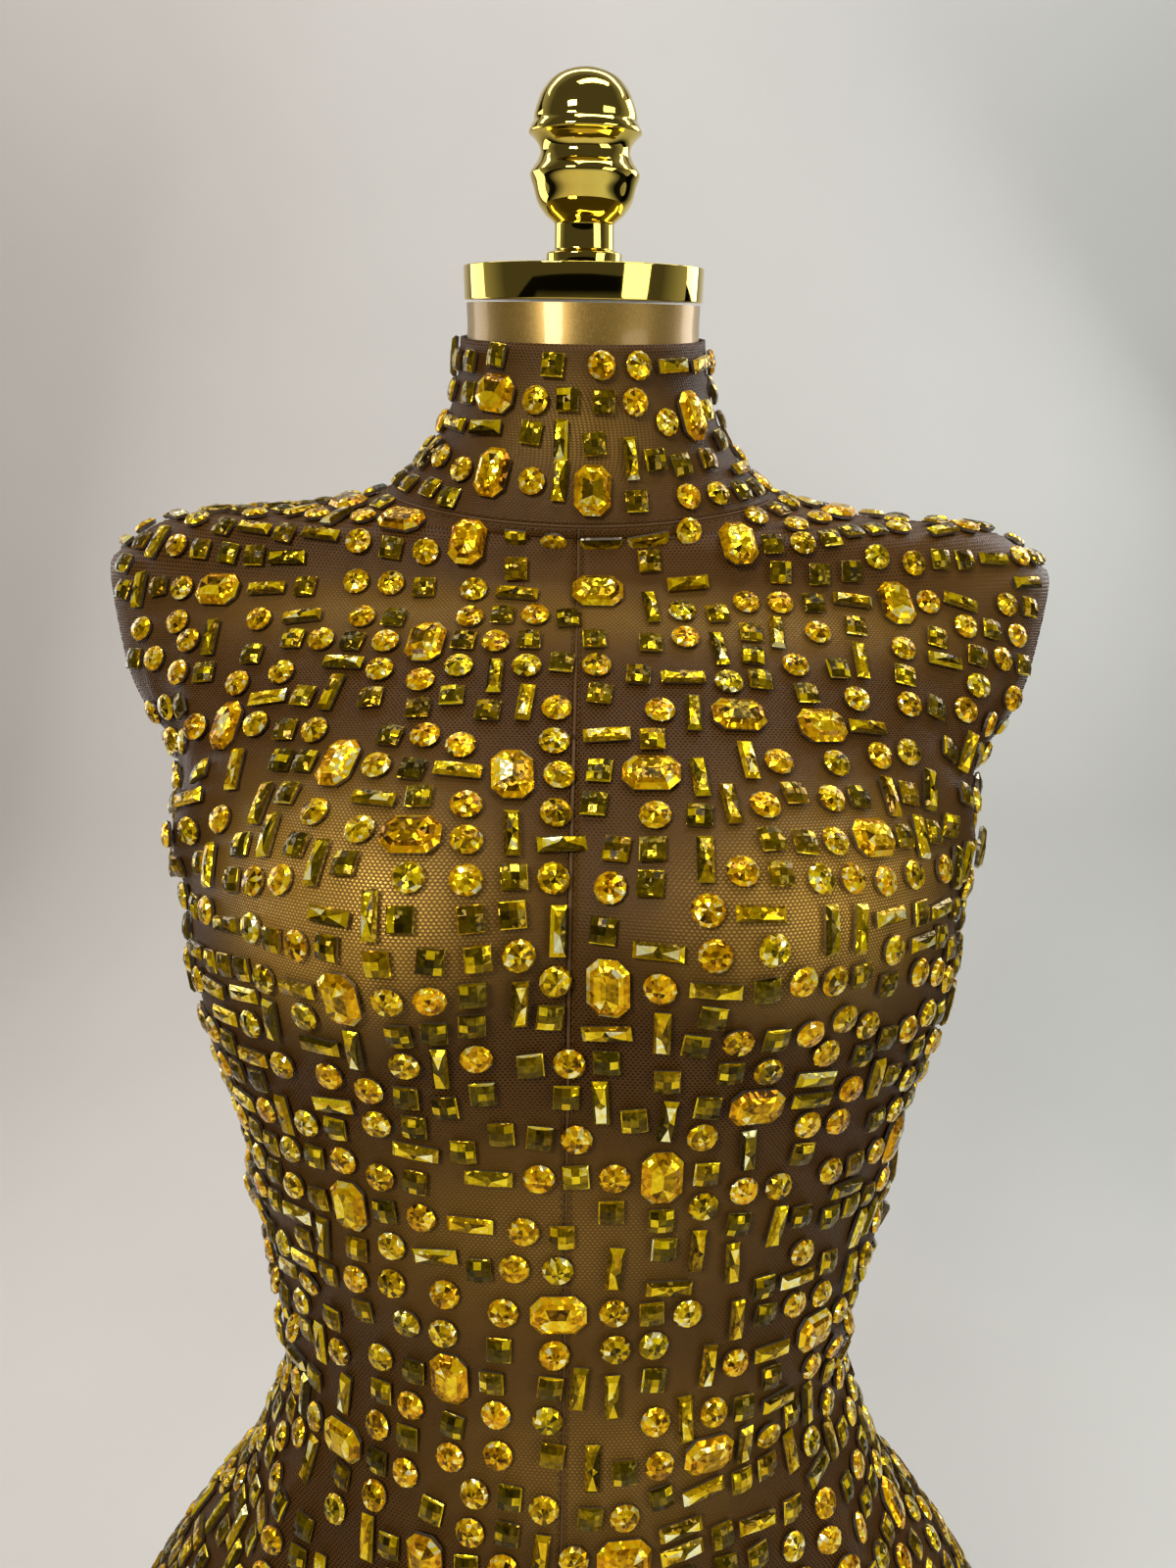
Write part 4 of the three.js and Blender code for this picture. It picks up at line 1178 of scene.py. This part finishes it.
def underside(first, count):
    """The face that closes a stone's foot, turned to look down."""
    return tuple(range(first + count - 1, first - 1, -1))


# A shape's cuts are faces with a tone and a warmth. The tone is a painted reflection: how bright the facet
# looks, like the rounds' bright kites and darker wedges.
def round_stone():
    """A round stone cut to a point: a sloping side, a ring of small kites, and two rings of twelve wedges
    that rise to the middle."""
    count = 12
    points = np.concatenate([
        ring_points(4.5, count, 0.0), ring_points(5.0, count, 1.3),
        ring_points(4.0, count, 2.5, math.pi / count), ring_points(2.0, count, 2.95, math.pi / count),
        [[0, 0, 3.3]],
    ])
    cuts = [(face, SIDE, 0.0) for face in [*band_faces(0, count, count), underside(0, count)]]
    for k in range(count):
        after = (k + 1) % count
        cuts.append(((count + k, count + after, 2 * count + k), 0.58, 0.3))
        cuts.append(((count + after, 2 * count + after, 2 * count + k), 0.78, 0.2))
    cuts += [(face, 0.5, 0.0) for face in band_faces(2 * count, 3 * count, count)]
    cuts += [((3 * count + k, 3 * count + (k + 1) % count, 4 * count), 0.4, -0.1) for k in range(count)]
    return points, cuts


def square_stone():
    """A square stone with a low dome cut in nine."""
    ticks = np.array([-3.6, -1.25, 1.25, 3.6])
    x, y = np.meshgrid(ticks, ticks, indexing="ij")
    dome = 2.9 - 0.055 * (x * x + y * y)
    top = np.stack([x, y, dome], -1).reshape(-1, 3)
    base = np.array([(-3.6, -3.6, 0), (3.6, -3.6, 0), (3.6, 3.6, 0), (-3.6, 3.6, 0)], float)
    girdle = np.array([(-4, -4, 1.2), (4, -4, 1.2), (4, 4, 1.2), (-4, 4, 1.2)], float)
    points = np.concatenate([top, base, girdle])
    cuts = []
    for i in range(3):
        for j in range(3):
            corner = 4 * i + j
            tone = 0.2 if (i, j) == (1, 1) else 0.25
            cuts.append(((corner, corner + 4, corner + 5, corner + 1), tone, 0.0))
    cuts += [(face, SIDE, 0.0) for face in [*band_faces(16, 20, 4), underside(16, 4)]]
    sides = [(20, 21, 12, 8, 4, 0), (21, 22, 15, 14, 13, 12), (22, 23, 3, 7, 11, 15), (23, 20, 0, 1, 2, 3)]
    cuts += [(side, 0.34, 0.1) for side in sides]
    return points, cuts


def baguette_stone():
    """A long stone with sloping sides, and a top cut as a bow tie of four facets round a low middle point."""
    points = np.array([
        (-7.1, -2.1, 0), (7.1, -2.1, 0), (7.1, 2.1, 0), (-7.1, 2.1, 0),
        (-7.5, -2.5, 1.3), (7.5, -2.5, 1.3), (7.5, 2.5, 1.3), (-7.5, 2.5, 1.3),
        (-6.1, -1.5, 2.6), (0, -1.7, 2.75), (6.1, -1.5, 2.6),
        (6.1, 1.5, 2.6), (0, 1.7, 2.75), (-6.1, 1.5, 2.6),
        (-1.2, 0, 2.95), (1.2, 0, 2.95),
    ], float)
    cuts = [(face, SIDE, 0.0) for face in [*band_faces(0, 4, 4), underside(0, 4)]]
    cuts += [
        ((4, 5, 10, 9, 8), 0.36, 0.05), ((5, 6, 11, 10), 0.6, 0.05), ((6, 7, 13, 12, 11), 0.3, 0.0),
        ((7, 4, 8, 13), 0.64, 0.05), ((8, 9, 14), 0.44, 0.0), ((9, 15, 14), 0.28, 0.0),
        ((9, 10, 15), 0.62, 0.1), ((10, 11, 15), 0.72, 0.0), ((11, 12, 15), 0.28, 0.0),
        ((12, 14, 15), 0.34, 0.0), ((12, 13, 14), 0.24, 0.0), ((13, 8, 14), 0.56, 0.1),
    ]
    return points, cuts


def octagon_stone():
    """A large stone with cut corners: two steps up to a table whose back facets meet in a short ridge."""
    points = np.concatenate([
        outline_points(8.6, 6.1, 3.2, 0.0), outline_points(9.0, 6.5, 3.6, 1.5),
        outline_points(7.5, 5.0, 2.7, 3.0), outline_points(6.0, 3.7, 2.0, 3.8),
        [[-2.4, 0, 4.1], [2.4, 0, 4.1]],
    ])
    cuts = [(face, SIDE, 0.0) for face in [*band_faces(0, 8, 8), underside(0, 8)]]
    cuts += [(face, 0.5 + 0.14 * (k % 2), 0.25) for k, face in enumerate(band_faces(8, 16, 8))]
    cuts += [(face, 0.38 + 0.2 * (k % 2), 0.15) for k, face in enumerate(band_faces(16, 24, 8))]
    cuts += [
        ((24, 25, 33), 0.5, -0.2), ((25, 26, 33), 0.78, -0.1), ((26, 27, 32, 33), 0.34, -0.3),
        ((27, 28, 32), 0.62, -0.1), ((28, 29, 32), 0.42, -0.2), ((29, 30, 32), 0.82, -0.2),
        ((30, 31, 33, 32), 0.56, -0.3), ((31, 24, 33), 0.28, -0.1),
    ]
    return points, cuts


STONE_SHAPES = {
    "round": round_stone, "square": square_stone, "baguette": baguette_stone, "octagon": octagon_stone,
}
# How warm a kind's glass is, from olive at 0 to amber at 1, and how much that varies from stone to stone.
STONE_HUE = {"round": (0.5, 0.28), "square": (0.05, 0.08), "baguette": (0.1, 0.1), "octagon": (0.72, 0.2)}
# How much the painted reflections of one stone's facets differ in tone, and the share of facets given a
# painted glint.
STONE_LIFE = {"round": (0.2, 0.1), "square": (0.08, 0.15), "baguette": (0.12, 0.12), "octagon": (0.16, 0.1)}
# How much whole stones differ in tone, how much brighter a painted glint makes a facet, the tone under a
# side's foil, and how much facets differ in warmth.
FACET = {"stone": 0.05, "painted_glint": 0.42, "side": 0.3, "warmth": 0.07}
SMALL_KINDS = ("round", "square", "baguette")
SMALL_SHARES = (0.40, 0.37, 0.23)
# How the stones are spread: the largest turns of the large ones and of the ones along an edge, the share of
# places along an edge that get one, the waves, the tries on each side of a stone, how far a try may lie
# aside, what is added to the gap, how well a stone keeps to the ring to count as laid along it, and the
# single tries at the end.
SPREAD = {
    "large_turn": 0.04, "edge_turn": 0.1, "edge_share": 0.5, "waves": 120, "tries": 3, "aside": 1.6,
    "spare": 0.05, "ringwise": 0.7, "singles": 40000,
}
# Places along the edges: how far in from an armhole or the collar's top, how far from the collar seam, how
# far apart, and the last turn before the zip.
EDGE_PLACES = {"inward": 6.6, "seam": 6.4, "apart": 1.7, "last_turn": 2.9}


def large_places():
    """Turn, row and upright of every large stone: the front's, half of them on the back, and the skirt's."""
    places = list(FRONT_STONES)
    for turn, height, up in FRONT_STONES[::2]:
        if height < BACK_STONE_TOP:
            places.append((180 - turn, height - BACK_STONE_DROP, 1 - up))
    heights = range(SKIRT_STONES["lowest"], SKIRT_STONES["highest"] + 1, SKIRT_STONES["up"])
    for course, height in enumerate(heights):
        first = -165 + (course % 2) * SKIRT_STONES["stagger"]
        for turn in range(first, first + 359, SKIRT_STONES["around"]):
            places.append((turn, height, (course + math.floor(turn / SKIRT_STONES["around"] + 0.5)) & 1))
    turn, height, up = np.array(places, float).T
    turn = np.radians(turn)
    return wrap(turn), row_at_height(turn, height), up


def ring_way(turn):
    """The way round a plain circle at each turn, towards growing turns."""
    return np.stack([np.cos(turn), np.sin(turn), 0 * turn], -1)


class StoneField:
    """Stones that are laid one after another, none nearer to another than the gap."""

    CELL = 12.0

    def __init__(self, net, stones):
        self.gap = stones.gap / MM
        self.loose = stones.loose
        self.sway = stones.sway
        self.surface = net_face(net, creases=True)
        self.rng = np.random.default_rng(stones.seed)
        self.cells = {}
        self.laid = []

    def small_kind(self):
        """A small stone's kind, drawn by its share."""
        return SMALL_KINDS[self.rng.choice(len(SMALL_KINDS), p=SMALL_SHARES)]

    def frames(self, turn, row):
        """Places, their directions along the ring, up the cloth and outwards, how long a radian is round the
        ring, and how far a row goes along the ring and up the cloth."""
        centre = self.surface(turn, row)
        around, up, _ = surface_frame(self.surface, turn, row)
        # In the narrow valley at the centre front the moved-out net turns back on itself for half a
        # millimetre.
        forwards = np.where(np.einsum("...k,...k", around, ring_way(turn)) < 0, -1.0, 1.0)[..., None]
        around = around * forwards
        normal = unit(np.cross(around, up))
        first = unit(around)
        second = unit(np.cross(normal, first))
        slant = np.einsum("...k,...k", up, first)
        rise = np.einsum("...k,...k", up, second)
        return centre, first, second, normal, np.linalg.norm(around, axis=-1), slant, rise

    def inside(self, stone):
        """Whether the stone's corners are clear of the armholes and the zip."""
        long, short = stone["first"] * stone["long"], stone["second"] * stone["short"]
        corners = stone["centre"] + np.array([-long - short, -long + short, long - short, long + short])
        height, aside = corners[:, 2], np.abs(corners[:, 0])
        if np.any((height > ARM_FACE["lowest"]) & (aside > arm_face(height) + ARMHOLE_PROUD - EDGE_BARE)):
            return False
        by_zip = stone["centre"][1] > 0 and stone["row"] > ZIP_BOTTOM_ROW
        return not (by_zip and corners[:, 0].min() < ZIP_BARE and corners[:, 0].max() > -ZIP_BARE)

    def touches(self, a, b):
        """Whether two stones are nearer than the gap, seen along the first one's normal."""
        offset = b["centre"] - a["centre"]
        if abs(offset @ a["normal"]) > OTHER_SIDE:
            return False
        if a["round"] and b["round"]:
            return np.linalg.norm(offset) < a["long"] + b["long"] + self.gap
        if b["round"] or a["round"]:
            box, disc = (a, b) if b["round"] else (b, a)
            away = disc["centre"] - box["centre"]
            x = max(abs(away @ box["first"]) - box["long"], 0)
            y = max(abs(away @ box["second"]) - box["short"], 0)
            return math.hypot(x, y) < disc["long"] + self.gap
        for box, other in ((a, b), (b, a)):
            for axis, half in (("first", "long"), ("second", "short")):
                direction = box[axis]
                reach = other["long"] * abs(other["first"] @ direction)
                reach += other["short"] * abs(other["second"] @ direction)
                if abs(offset @ direction) > box[half] + reach + self.gap:
                    return False
        return True

    def lay(self, kind, turn, row, frame, angle):
        """Lays one stone, turned by angle in its own plane, and gives it back, or None if it has no room."""
        centre, first, second, normal = frame[:4]
        cos, sin = math.cos(angle), math.sin(angle)
        stone = {
            "kind": kind, "turn": turn, "row": row, "centre": centre, "first": first * cos + second * sin,
            "second": second * cos - first * sin, "normal": normal, "long": STONE_LONG[kind] / 2,
            "short": STONE_SHORT[kind] / 2, "round": kind == "round",
        }
        if not self.inside(stone):
            return None
        x, y, z = cell = tuple((centre // self.CELL).astype(int))
        for near in itertools.product((x - 1, x, x + 1), (y - 1, y, y + 1), (z - 1, z, z + 1)):
            if any(self.touches(stone, other) for other in self.cells.get(near, ())):
                return None
        self.cells.setdefault(cell, []).append(stone)
        self.laid.append(stone)
        return stone

    def lay_small(self, kind, quarter, turn, row, frame, grain, sway):
        """Lays a small stone along the grain, or across it with a quarter turn, if it is off the seams."""
        half = (STONE_LONG[kind] if quarter else STONE_SHORT[kind]) / 2 / frame[6]
        if not clears_seams(row, half):
            return None
        angle = grain + sway * self.sway + (math.pi / 2 if quarter else 0)
        return self.lay(kind, turn, row, frame, angle)


def clears_seams(row, half):
    """Whether a stone of this half size, in rows, lies between the hem and the collar seam or above that."""
    on_body = HEM_TOP + half < row < COLLAR_SEAM_ROW - half
    return on_body or COLLAR_SEAM_ROW + half < row < COLLAR_TOP_ROW - half


def along(turn, row, path, spacing, kept):
    """Places every so far along a path, where the path is kept."""
    run = np.concatenate([[0], np.cumsum(np.linalg.norm(np.diff(path, axis=0), axis=-1))])
    at = np.arange(spacing, run[-1], spacing)
    at = at[np.interp(at, run, kept) > 0.5]
    return np.interp(at, run, turn), np.interp(at, run, row)


def edge_places(net, frames):
    """Places one stone's half width in from every armhole edge, from both sides of the collar seam and from
    the collar's top."""
    surface, spacing, places = net_face(net), EDGE_PLACES["apart"], []
    row = fine_rows(*SHOULDER_ROWS, 1.5)
    for start in (FORE_START, AFT_START):
        for side in (-1, 1):
            inner = ARMHOLE_PROUD - EDGE_PLACES["inward"]
            edge = arm_turn(surface, row, side, start, math.pi / 2, inner)
            opened = np.abs(np.abs(edge) - math.pi / 2) > 1e-3
            places.append(along(side * edge, row, surface(side * edge, row), spacing, opened))
    turn = np.linspace(-EDGE_PLACES["last_turn"], EDGE_PLACES["last_turn"], 400)
    for line, inward in ((COLLAR_SEAM_ROW - SHORT_OF, -EDGE_PLACES["seam"]),
                         (COLLAR_SEAM_ROW + SHORT_OF, EDGE_PLACES["seam"]),
                         (COLLAR_TOP_ROW, -EDGE_PLACES["inward"])):
        row = np.full(len(turn), float(line))
        row += inward / frames(turn, row)[6]
        places.append(along(turn, row, surface(turn, row), spacing, np.ones(len(turn))))
    return (np.concatenate(part) for part in zip(*places))


def split(frames):
    """Arrays of places, directions and lengths as one set of them for each stone."""
    return list(zip(*frames))


def lay_first(field, net):
    """Lays the large stones, and small ones at some of the places along the edges."""
    turn, row, up = large_places()
    laid = []
    for k, frame in enumerate(split(field.frames(turn, row))):
        sway = field.rng.uniform(-SPREAD["large_turn"], SPREAD["large_turn"])
        laid.append(field.lay("octagon", turn[k], row[k], frame, (math.pi / 2 if up[k] else 0) + sway))
    turn, row = edge_places(net, field.frames)
    frames = split(field.frames(turn, row))
    for k in np.nonzero(field.rng.random(len(turn)) < SPREAD["edge_share"])[0]:
        kind = field.small_kind()
        sway = field.rng.uniform(-SPREAD["edge_turn"], SPREAD["edge_turn"])
        laid.append(field.lay(kind, turn[k], row[k], frames[k], sway))
    return [stone for stone in laid if stone]


def wanted(field, front):
    """What is tried on each of the four sides of every stone: the stone, the side, the new one's kind,
    whether it has a quarter turn, the gap, and how far it lies aside and turns."""
    wants = []
    for stone, side, _ in itertools.product(front, range(4), range(SPREAD["tries"])):
        kind = field.small_kind()
        if kind == stone["kind"]:
            kind = field.small_kind()
        quarter = kind == "baguette" and field.rng.random() < 0.5
        gap = field.gap + SPREAD["spare"] + field.rng.random() * field.loose / MM
        wants.append((stone, side, kind, quarter, gap, field.rng.uniform(-1, 1), field.rng.uniform(-1, 1)))
    return wants


def lay_wave(field, front):
    """Tries small stones on all sides of those that were laid last, and gives back the new ones."""
    wants = wanted(field, front)
    at_turn = np.array([want[0]["turn"] for want in wants])
    at_row = np.array([want[0]["row"] for want in wants])
    _, first, _, _, around, slant, rise = field.frames(at_turn, at_row)
    shift = np.zeros((len(wants), 2))
    for k, (stone, side, kind, quarter, gap, aside, _) in enumerate(wants):
        ringwise = abs(stone["first"] @ first[k]) > SPREAD["ringwise"]
        own = (stone["long"], stone["short"]) if ringwise else (stone["short"], stone["long"])
        new = (STONE_LONG[kind] / 2, STONE_SHORT[kind] / 2)
        new = new[::-1] if quarter else new
        axis, sign = side % 2, 1 if side < 2 else -1
        shift[k, axis] = sign * (own[axis] + new[axis] + gap)
        shift[k, 1 - axis] = aside * SPREAD["aside"]
    rows_up = shift[:, 1] / rise
    turn = wrap(at_turn + (shift[:, 0] - slant * rows_up) / around)
    row = at_row + rows_up
    on_dress = (row > 0.05) & (row < COLLAR_TOP_ROW - 0.1)
    row = np.clip(row, 0.05, COLLAR_TOP_ROW - 0.1)
    frames = field.frames(turn, row)
    grain = np.radians(spot_sum(GRAIN_TURNS, turn, row, frames[0][:, 2]))
    laid = []
    for k, frame in enumerate(split(frames)):
        _, _, kind, quarter, _, _, sway = wants[k]
        if on_dress[k]:
            laid.append(field.lay_small(kind, quarter, turn[k], row[k], frame, grain[k], sway))
    return [stone for stone in laid if stone]


def fill_gaps(field):
    """Tries single small stones anywhere, every other baguette with a quarter turn."""
    count = SPREAD["singles"]
    turn = field.rng.uniform(-math.pi, math.pi, count)
    row = field.rng.uniform(0.1, COLLAR_TOP_ROW - 0.1, count)
    frames = field.frames(turn, row)
    grain = np.radians(spot_sum(GRAIN_TURNS, turn, row, frames[0][:, 2]))
    picks = field.rng.choice(len(SMALL_KINDS), count, p=SMALL_SHARES)
    sways = field.rng.uniform(-1, 1, count)
    for k, frame in enumerate(split(frames)):
        kind = SMALL_KINDS[picks[k]]
        quarter = kind == "baguette" and k % 2
        field.lay_small(kind, quarter, turn[k], row[k], frame, grain[k], sways[k])


def spread_stones(net, stones):
    """Lays the large stones and some along the edges, then lets small ones spread outwards from them in
    waves, and at last fills what is left with single stones."""
    field = StoneField(net, stones)
    front = lay_first(field, net)
    for _ in range(SPREAD["waves"]):
        if not front:
            break
        front = lay_wave(field, front)
    fill_gaps(field)
    return field.laid


def panel_of(stone):
    """The name of the piece of cloth that a stone is sewn on."""
    if stone["row"] > COLLAR_SEAM_ROW:
        return "collar"
    half = "right" if math.sin(stone["turn"]) > 0 else "left"
    return ("front_" if math.cos(stone["turn"]) > 0 else "back_") + half


def stone_meshes(laid, rng, lift):
    """All the stones of one panel as one set of points, faces and facet values. A stone's points are its
    shape's points carried by its own grain, upward and outward directions."""
    points, faces, tones, hues, foils = [], [], [], [], []
    start = 0
    for kind in KINDS:
        mine = [stone for stone in laid if stone["kind"] == kind]
        if not mine:
            continue
        shape, cuts = STONE_SHAPES[kind]()
        axes = np.stack([[s["first"], s["second"], s["normal"]] for s in mine])
        centres = np.stack([s["centre"] for s in mine])
        if kind == "round":
            spin = rng.uniform(0, 2 * math.pi, len(mine))
        else:
            spin = rng.integers(0, 2, len(mine)) * math.pi
        cos, sin = np.cos(spin)[:, None], np.sin(spin)[:, None]
        x, y, z = shape.T
        local = np.stack(np.broadcast_arrays(x * cos - y * sin, x * sin + y * cos, z + lift), -1)
        placed = centres[:, None] + np.einsum("mpk,mkd->mpd", local, axes)
        points.append(placed.reshape(-1, 3))
        facet = np.array([tone for _, tone, _ in cuts])
        warm = np.array([warmth for _, _, warmth in cuts])
        spread, glint_share = STONE_LIFE[kind]
        count = (len(mine), len(cuts))
        # Painted reflections: every facet's tone varies at random, and a share of facets get a painted glint.
        noise = rng.normal(0, spread, count) + rng.normal(0, FACET["stone"], (len(mine), 1))
        painted_glint = rng.random(count) < glint_share
        shade = np.clip(facet + noise + FACET["painted_glint"] * painted_glint, 0.0, 1.0)
        tones.append(np.where(facet < 0, FACET["side"], shade).ravel())
        middle, width = STONE_HUE[kind]
        own = rng.normal(0, width, (len(mine), 1))
        hue = middle + warm + own + rng.normal(0, FACET["warmth"], shade.shape)
        hues.append(np.clip(hue, 0, 1).ravel())
        foils.append(np.broadcast_to((facet < 0).astype(float), shade.shape).ravel())
        for m in range(len(mine)):
            offset = start + m * len(shape)
            faces.extend([tuple(offset + corner for corner in face) for face, _, _ in cuts])
        start += len(mine) * len(shape)
    return np.concatenate(points), faces, np.concatenate(tones), np.concatenate(hues), np.concatenate(foils)


class DRESS_OT_stones(bpy.types.Operator):
    """Spread the foiled stones over the dress"""

    bl_idname = "dress.stones"
    bl_label = "Stones"

    def execute(self, context):
        net, stones = context.scene.dress_net, context.scene.dress_stones
        laid = spread_stones(net, stones)
        rng = np.random.default_rng(stones.seed + 1)
        lift = -(net.wall - net.thread_depth) / MM / 2 + net.thread_depth / MM / 2 + STONE_CLEAR
        for name in [*(name for name, _, _ in PANELS), "collar"]:
            mine = [stone for stone in laid if panel_of(stone) == name]
            points, faces, tones, hues, foils = stone_meshes(mine, rng, lift)
            piece = new_mesh(f"stones_{name}", points, faces, shared_material("foiled stone"), smooth=False)
            for attribute, values in (("tone", tones), ("hue", hues), ("foil", foils)):
                mark(piece, attribute, values, "FACE")
            finish_piece(piece, "stone_amber")
        return {"FINISHED"}


# ---------------------------------------------------------------- floor, lights and camera


def area_light(name, place, aim, size, power, tint):
    """A rectangular light that the camera doesn't see."""
    lamp = bpy.data.lights.new(name, "AREA")
    lamp.shape, lamp.size, lamp.size_y = "RECTANGLE", size[0], size[1]
    lamp.energy, lamp.color = power, tint
    light = bpy.data.objects.new(name, lamp)
    light.location = place
    light.visible_camera = False
    light.rotation_euler = (Vector(aim) - Vector(place)).to_track_quat("-Z", "Y").to_euler()
    bpy.context.scene.collection.objects.link(light)


def studio_world(stage):
    """Pale air behind, dimmer in front, so that polished metal has something dark to show."""
    world = bpy.data.worlds.new("studio")
    world.use_nodes = True
    n = Nodes(world.node_tree)
    background = world.node_tree.nodes["Background"]
    way = n.add("ShaderNodeTexCoord").outputs["Generated"]
    parts = n.add("ShaderNodeSeparateXYZ", {0: way}).outputs
    behind = n.fit(parts["Y"], -0.2, 0.5)
    dim = n.mix(behind, (0.075, 0.070, 0.065, 1), (0.50, 0.49, 0.47, 1))
    seen = n.add("ShaderNodeLightPath").outputs["Is Camera Ray"]
    shade = n.mix(seen, dim, (*stage.air, 1))
    world.node_tree.links.new(shade, background.inputs["Color"])
    bpy.context.scene.world = world


# The floor's front edge, where it starts to bend up behind, the bend's radius, the wall's top, the half
# width, and how far it all lies below the base plate.
SWEEP = {"front": -3600, "bend": 900, "radius": 600, "top": 3600, "half": 4000, "below": 0.2}


def sweep_points():
    """A floor that curves up into a wall behind: a profile of depth and height carried sideways."""
    bend, radius = np.radians(np.linspace(0, 90, 13)), SWEEP["radius"]
    curve = np.stack([SWEEP["bend"] + radius * np.sin(bend), radius * (1 - np.cos(bend))], -1)
    floor = [(SWEEP["front"], 0), (-1200, 0), (0, 0)]
    wall = [(curve[-1, 0], 2000), (curve[-1, 0], SWEEP["top"])]
    profile = np.concatenate([floor, curve, wall])
    profile[:, 1] -= SWEEP["below"]
    x = np.linspace(-SWEEP["half"], SWEEP["half"], 9)
    return np.stack(np.broadcast_arrays(x[None, :], profile[:, :1], profile[:, 1:]), -1)


CHEST = (0, 0, 0.78)
# Each light's name, place, aim, size across and up, share of the key light's power, and tint.
LIGHTS = (
    ("key", (-0.75, -1.45, 1.55), CHEST, (0.5, 0.5), 1.0, (1.0, 0.98, 0.95)),
    ("fill", (1.35, -1.1, 0.9), CHEST, (0.8, 1.2), 0.5, (0.95, 0.98, 1.0)),
    ("top", (0.25, -0.55, 2.3), CHEST, (1.2, 0.3), 0.5, (1.0, 0.97, 0.92)),
    ("back_right", (1.3, 0.8, 1.7), CHEST, (0.7, 1.0), 0.5, (1, 1, 1)),
    ("back_left", (-1.4, 0.7, 1.1), CHEST, (0.7, 1.2), 0.35, (1, 1, 1)),
    ("wall", (0, 0.5, 3.0), (0, 1.5, 0.9), (4.2, 0.4), 1.45, (1, 1, 1)),
)


class DRESS_OT_stage(bpy.types.Operator):
    """Set the floor, the lights and the camera"""

    bl_idname = "dress.stage"
    bl_label = "Stage"

    def execute(self, context):
        stage = context.scene.dress_stage
        points = sweep_points()
        sweep = new_mesh("sweep", points, grid_faces(*points.shape[:2]), floor_material(stage))
        for name, place, aim, size, share, tint in LIGHTS:
            area_light(name, place, aim, size, share * stage.key, tint)
        studio_world(stage)
        context.scene.view_settings.view_transform = "Standard"
        lens = bpy.data.cameras.new("camera")
        lens.lens, lens.sensor_width, lens.clip_start = stage.lens, 36.0, 0.01
        camera = bpy.data.objects.new("camera", lens)
        tilt = Matrix.Rotation(math.pi / 2 - stage.pitch, 4, "X")
        camera.matrix_world = Matrix.Translation(stage.eye) @ tilt @ Matrix.Rotation(stage.roll, 4, "Z")
        context.scene.collection.objects.link(camera)
        context.scene.camera = camera
        return {"FINISHED"}


# ---------------------------------------------------------------- the panel and the run


class DRESS_PT_sidebar(bpy.types.Panel):
    """Buttons for every piece of the dress"""

    bl_label = "Stage dress"
    bl_idname = "DRESS_PT_sidebar"
    bl_space_type = "VIEW_3D"
    bl_region_type = "UI"
    bl_category = "Dress"

    def draw(self, context):
        for group in ("dress_net", "dress_stones", "dress_stand", "dress_stage"):
            box = self.layout.box()
            settings = getattr(context.scene, group)
            for name in settings.bl_rna.properties.keys():
                if name not in ("rna_type", "name"):
                    box.prop(settings, name)
        for operator in OPERATORS:
            self.layout.operator(operator.bl_idname)


SETTINGS = (
    ("dress_net", DressNetSettings), ("dress_stones", DressStoneSettings),
    ("dress_stand", DressStandSettings), ("dress_stage", DressStageSettings),
)
OPERATORS = (
    DRESS_OT_stage, DRESS_OT_form, DRESS_OT_stand, DRESS_OT_stones,
    DRESS_OT_panels, DRESS_OT_collar, DRESS_OT_seams, DRESS_OT_zip,
)


def register():
    for name, group in SETTINGS:
        bpy.utils.register_class(group)
        setattr(bpy.types.Scene, name, bpy.props.PointerProperty(type=group))
    for operator in OPERATORS:
        bpy.utils.register_class(operator)
    bpy.utils.register_class(DRESS_PT_sidebar)


def unregister():
    bpy.utils.unregister_class(DRESS_PT_sidebar)
    for operator in reversed(OPERATORS):
        bpy.utils.unregister_class(operator)
    for name, group in reversed(SETTINGS):
        delattr(bpy.types.Scene, name)
        bpy.utils.unregister_class(group)


def main():
    for left_over in [o for o in bpy.data.objects if o.type in ("CAMERA", "LIGHT") or o.name == "Cube"]:
        bpy.data.objects.remove(left_over)
    register()
    bpy.ops.dress.stage()
    bpy.ops.dress.form()
    bpy.ops.dress.stand()
    bpy.ops.dress.stones()
    bpy.ops.dress.panels()
    bpy.ops.dress.collar()
    bpy.ops.dress.seams()
    bpy.ops.dress.zip()


if __name__ == "__main__":
    main()
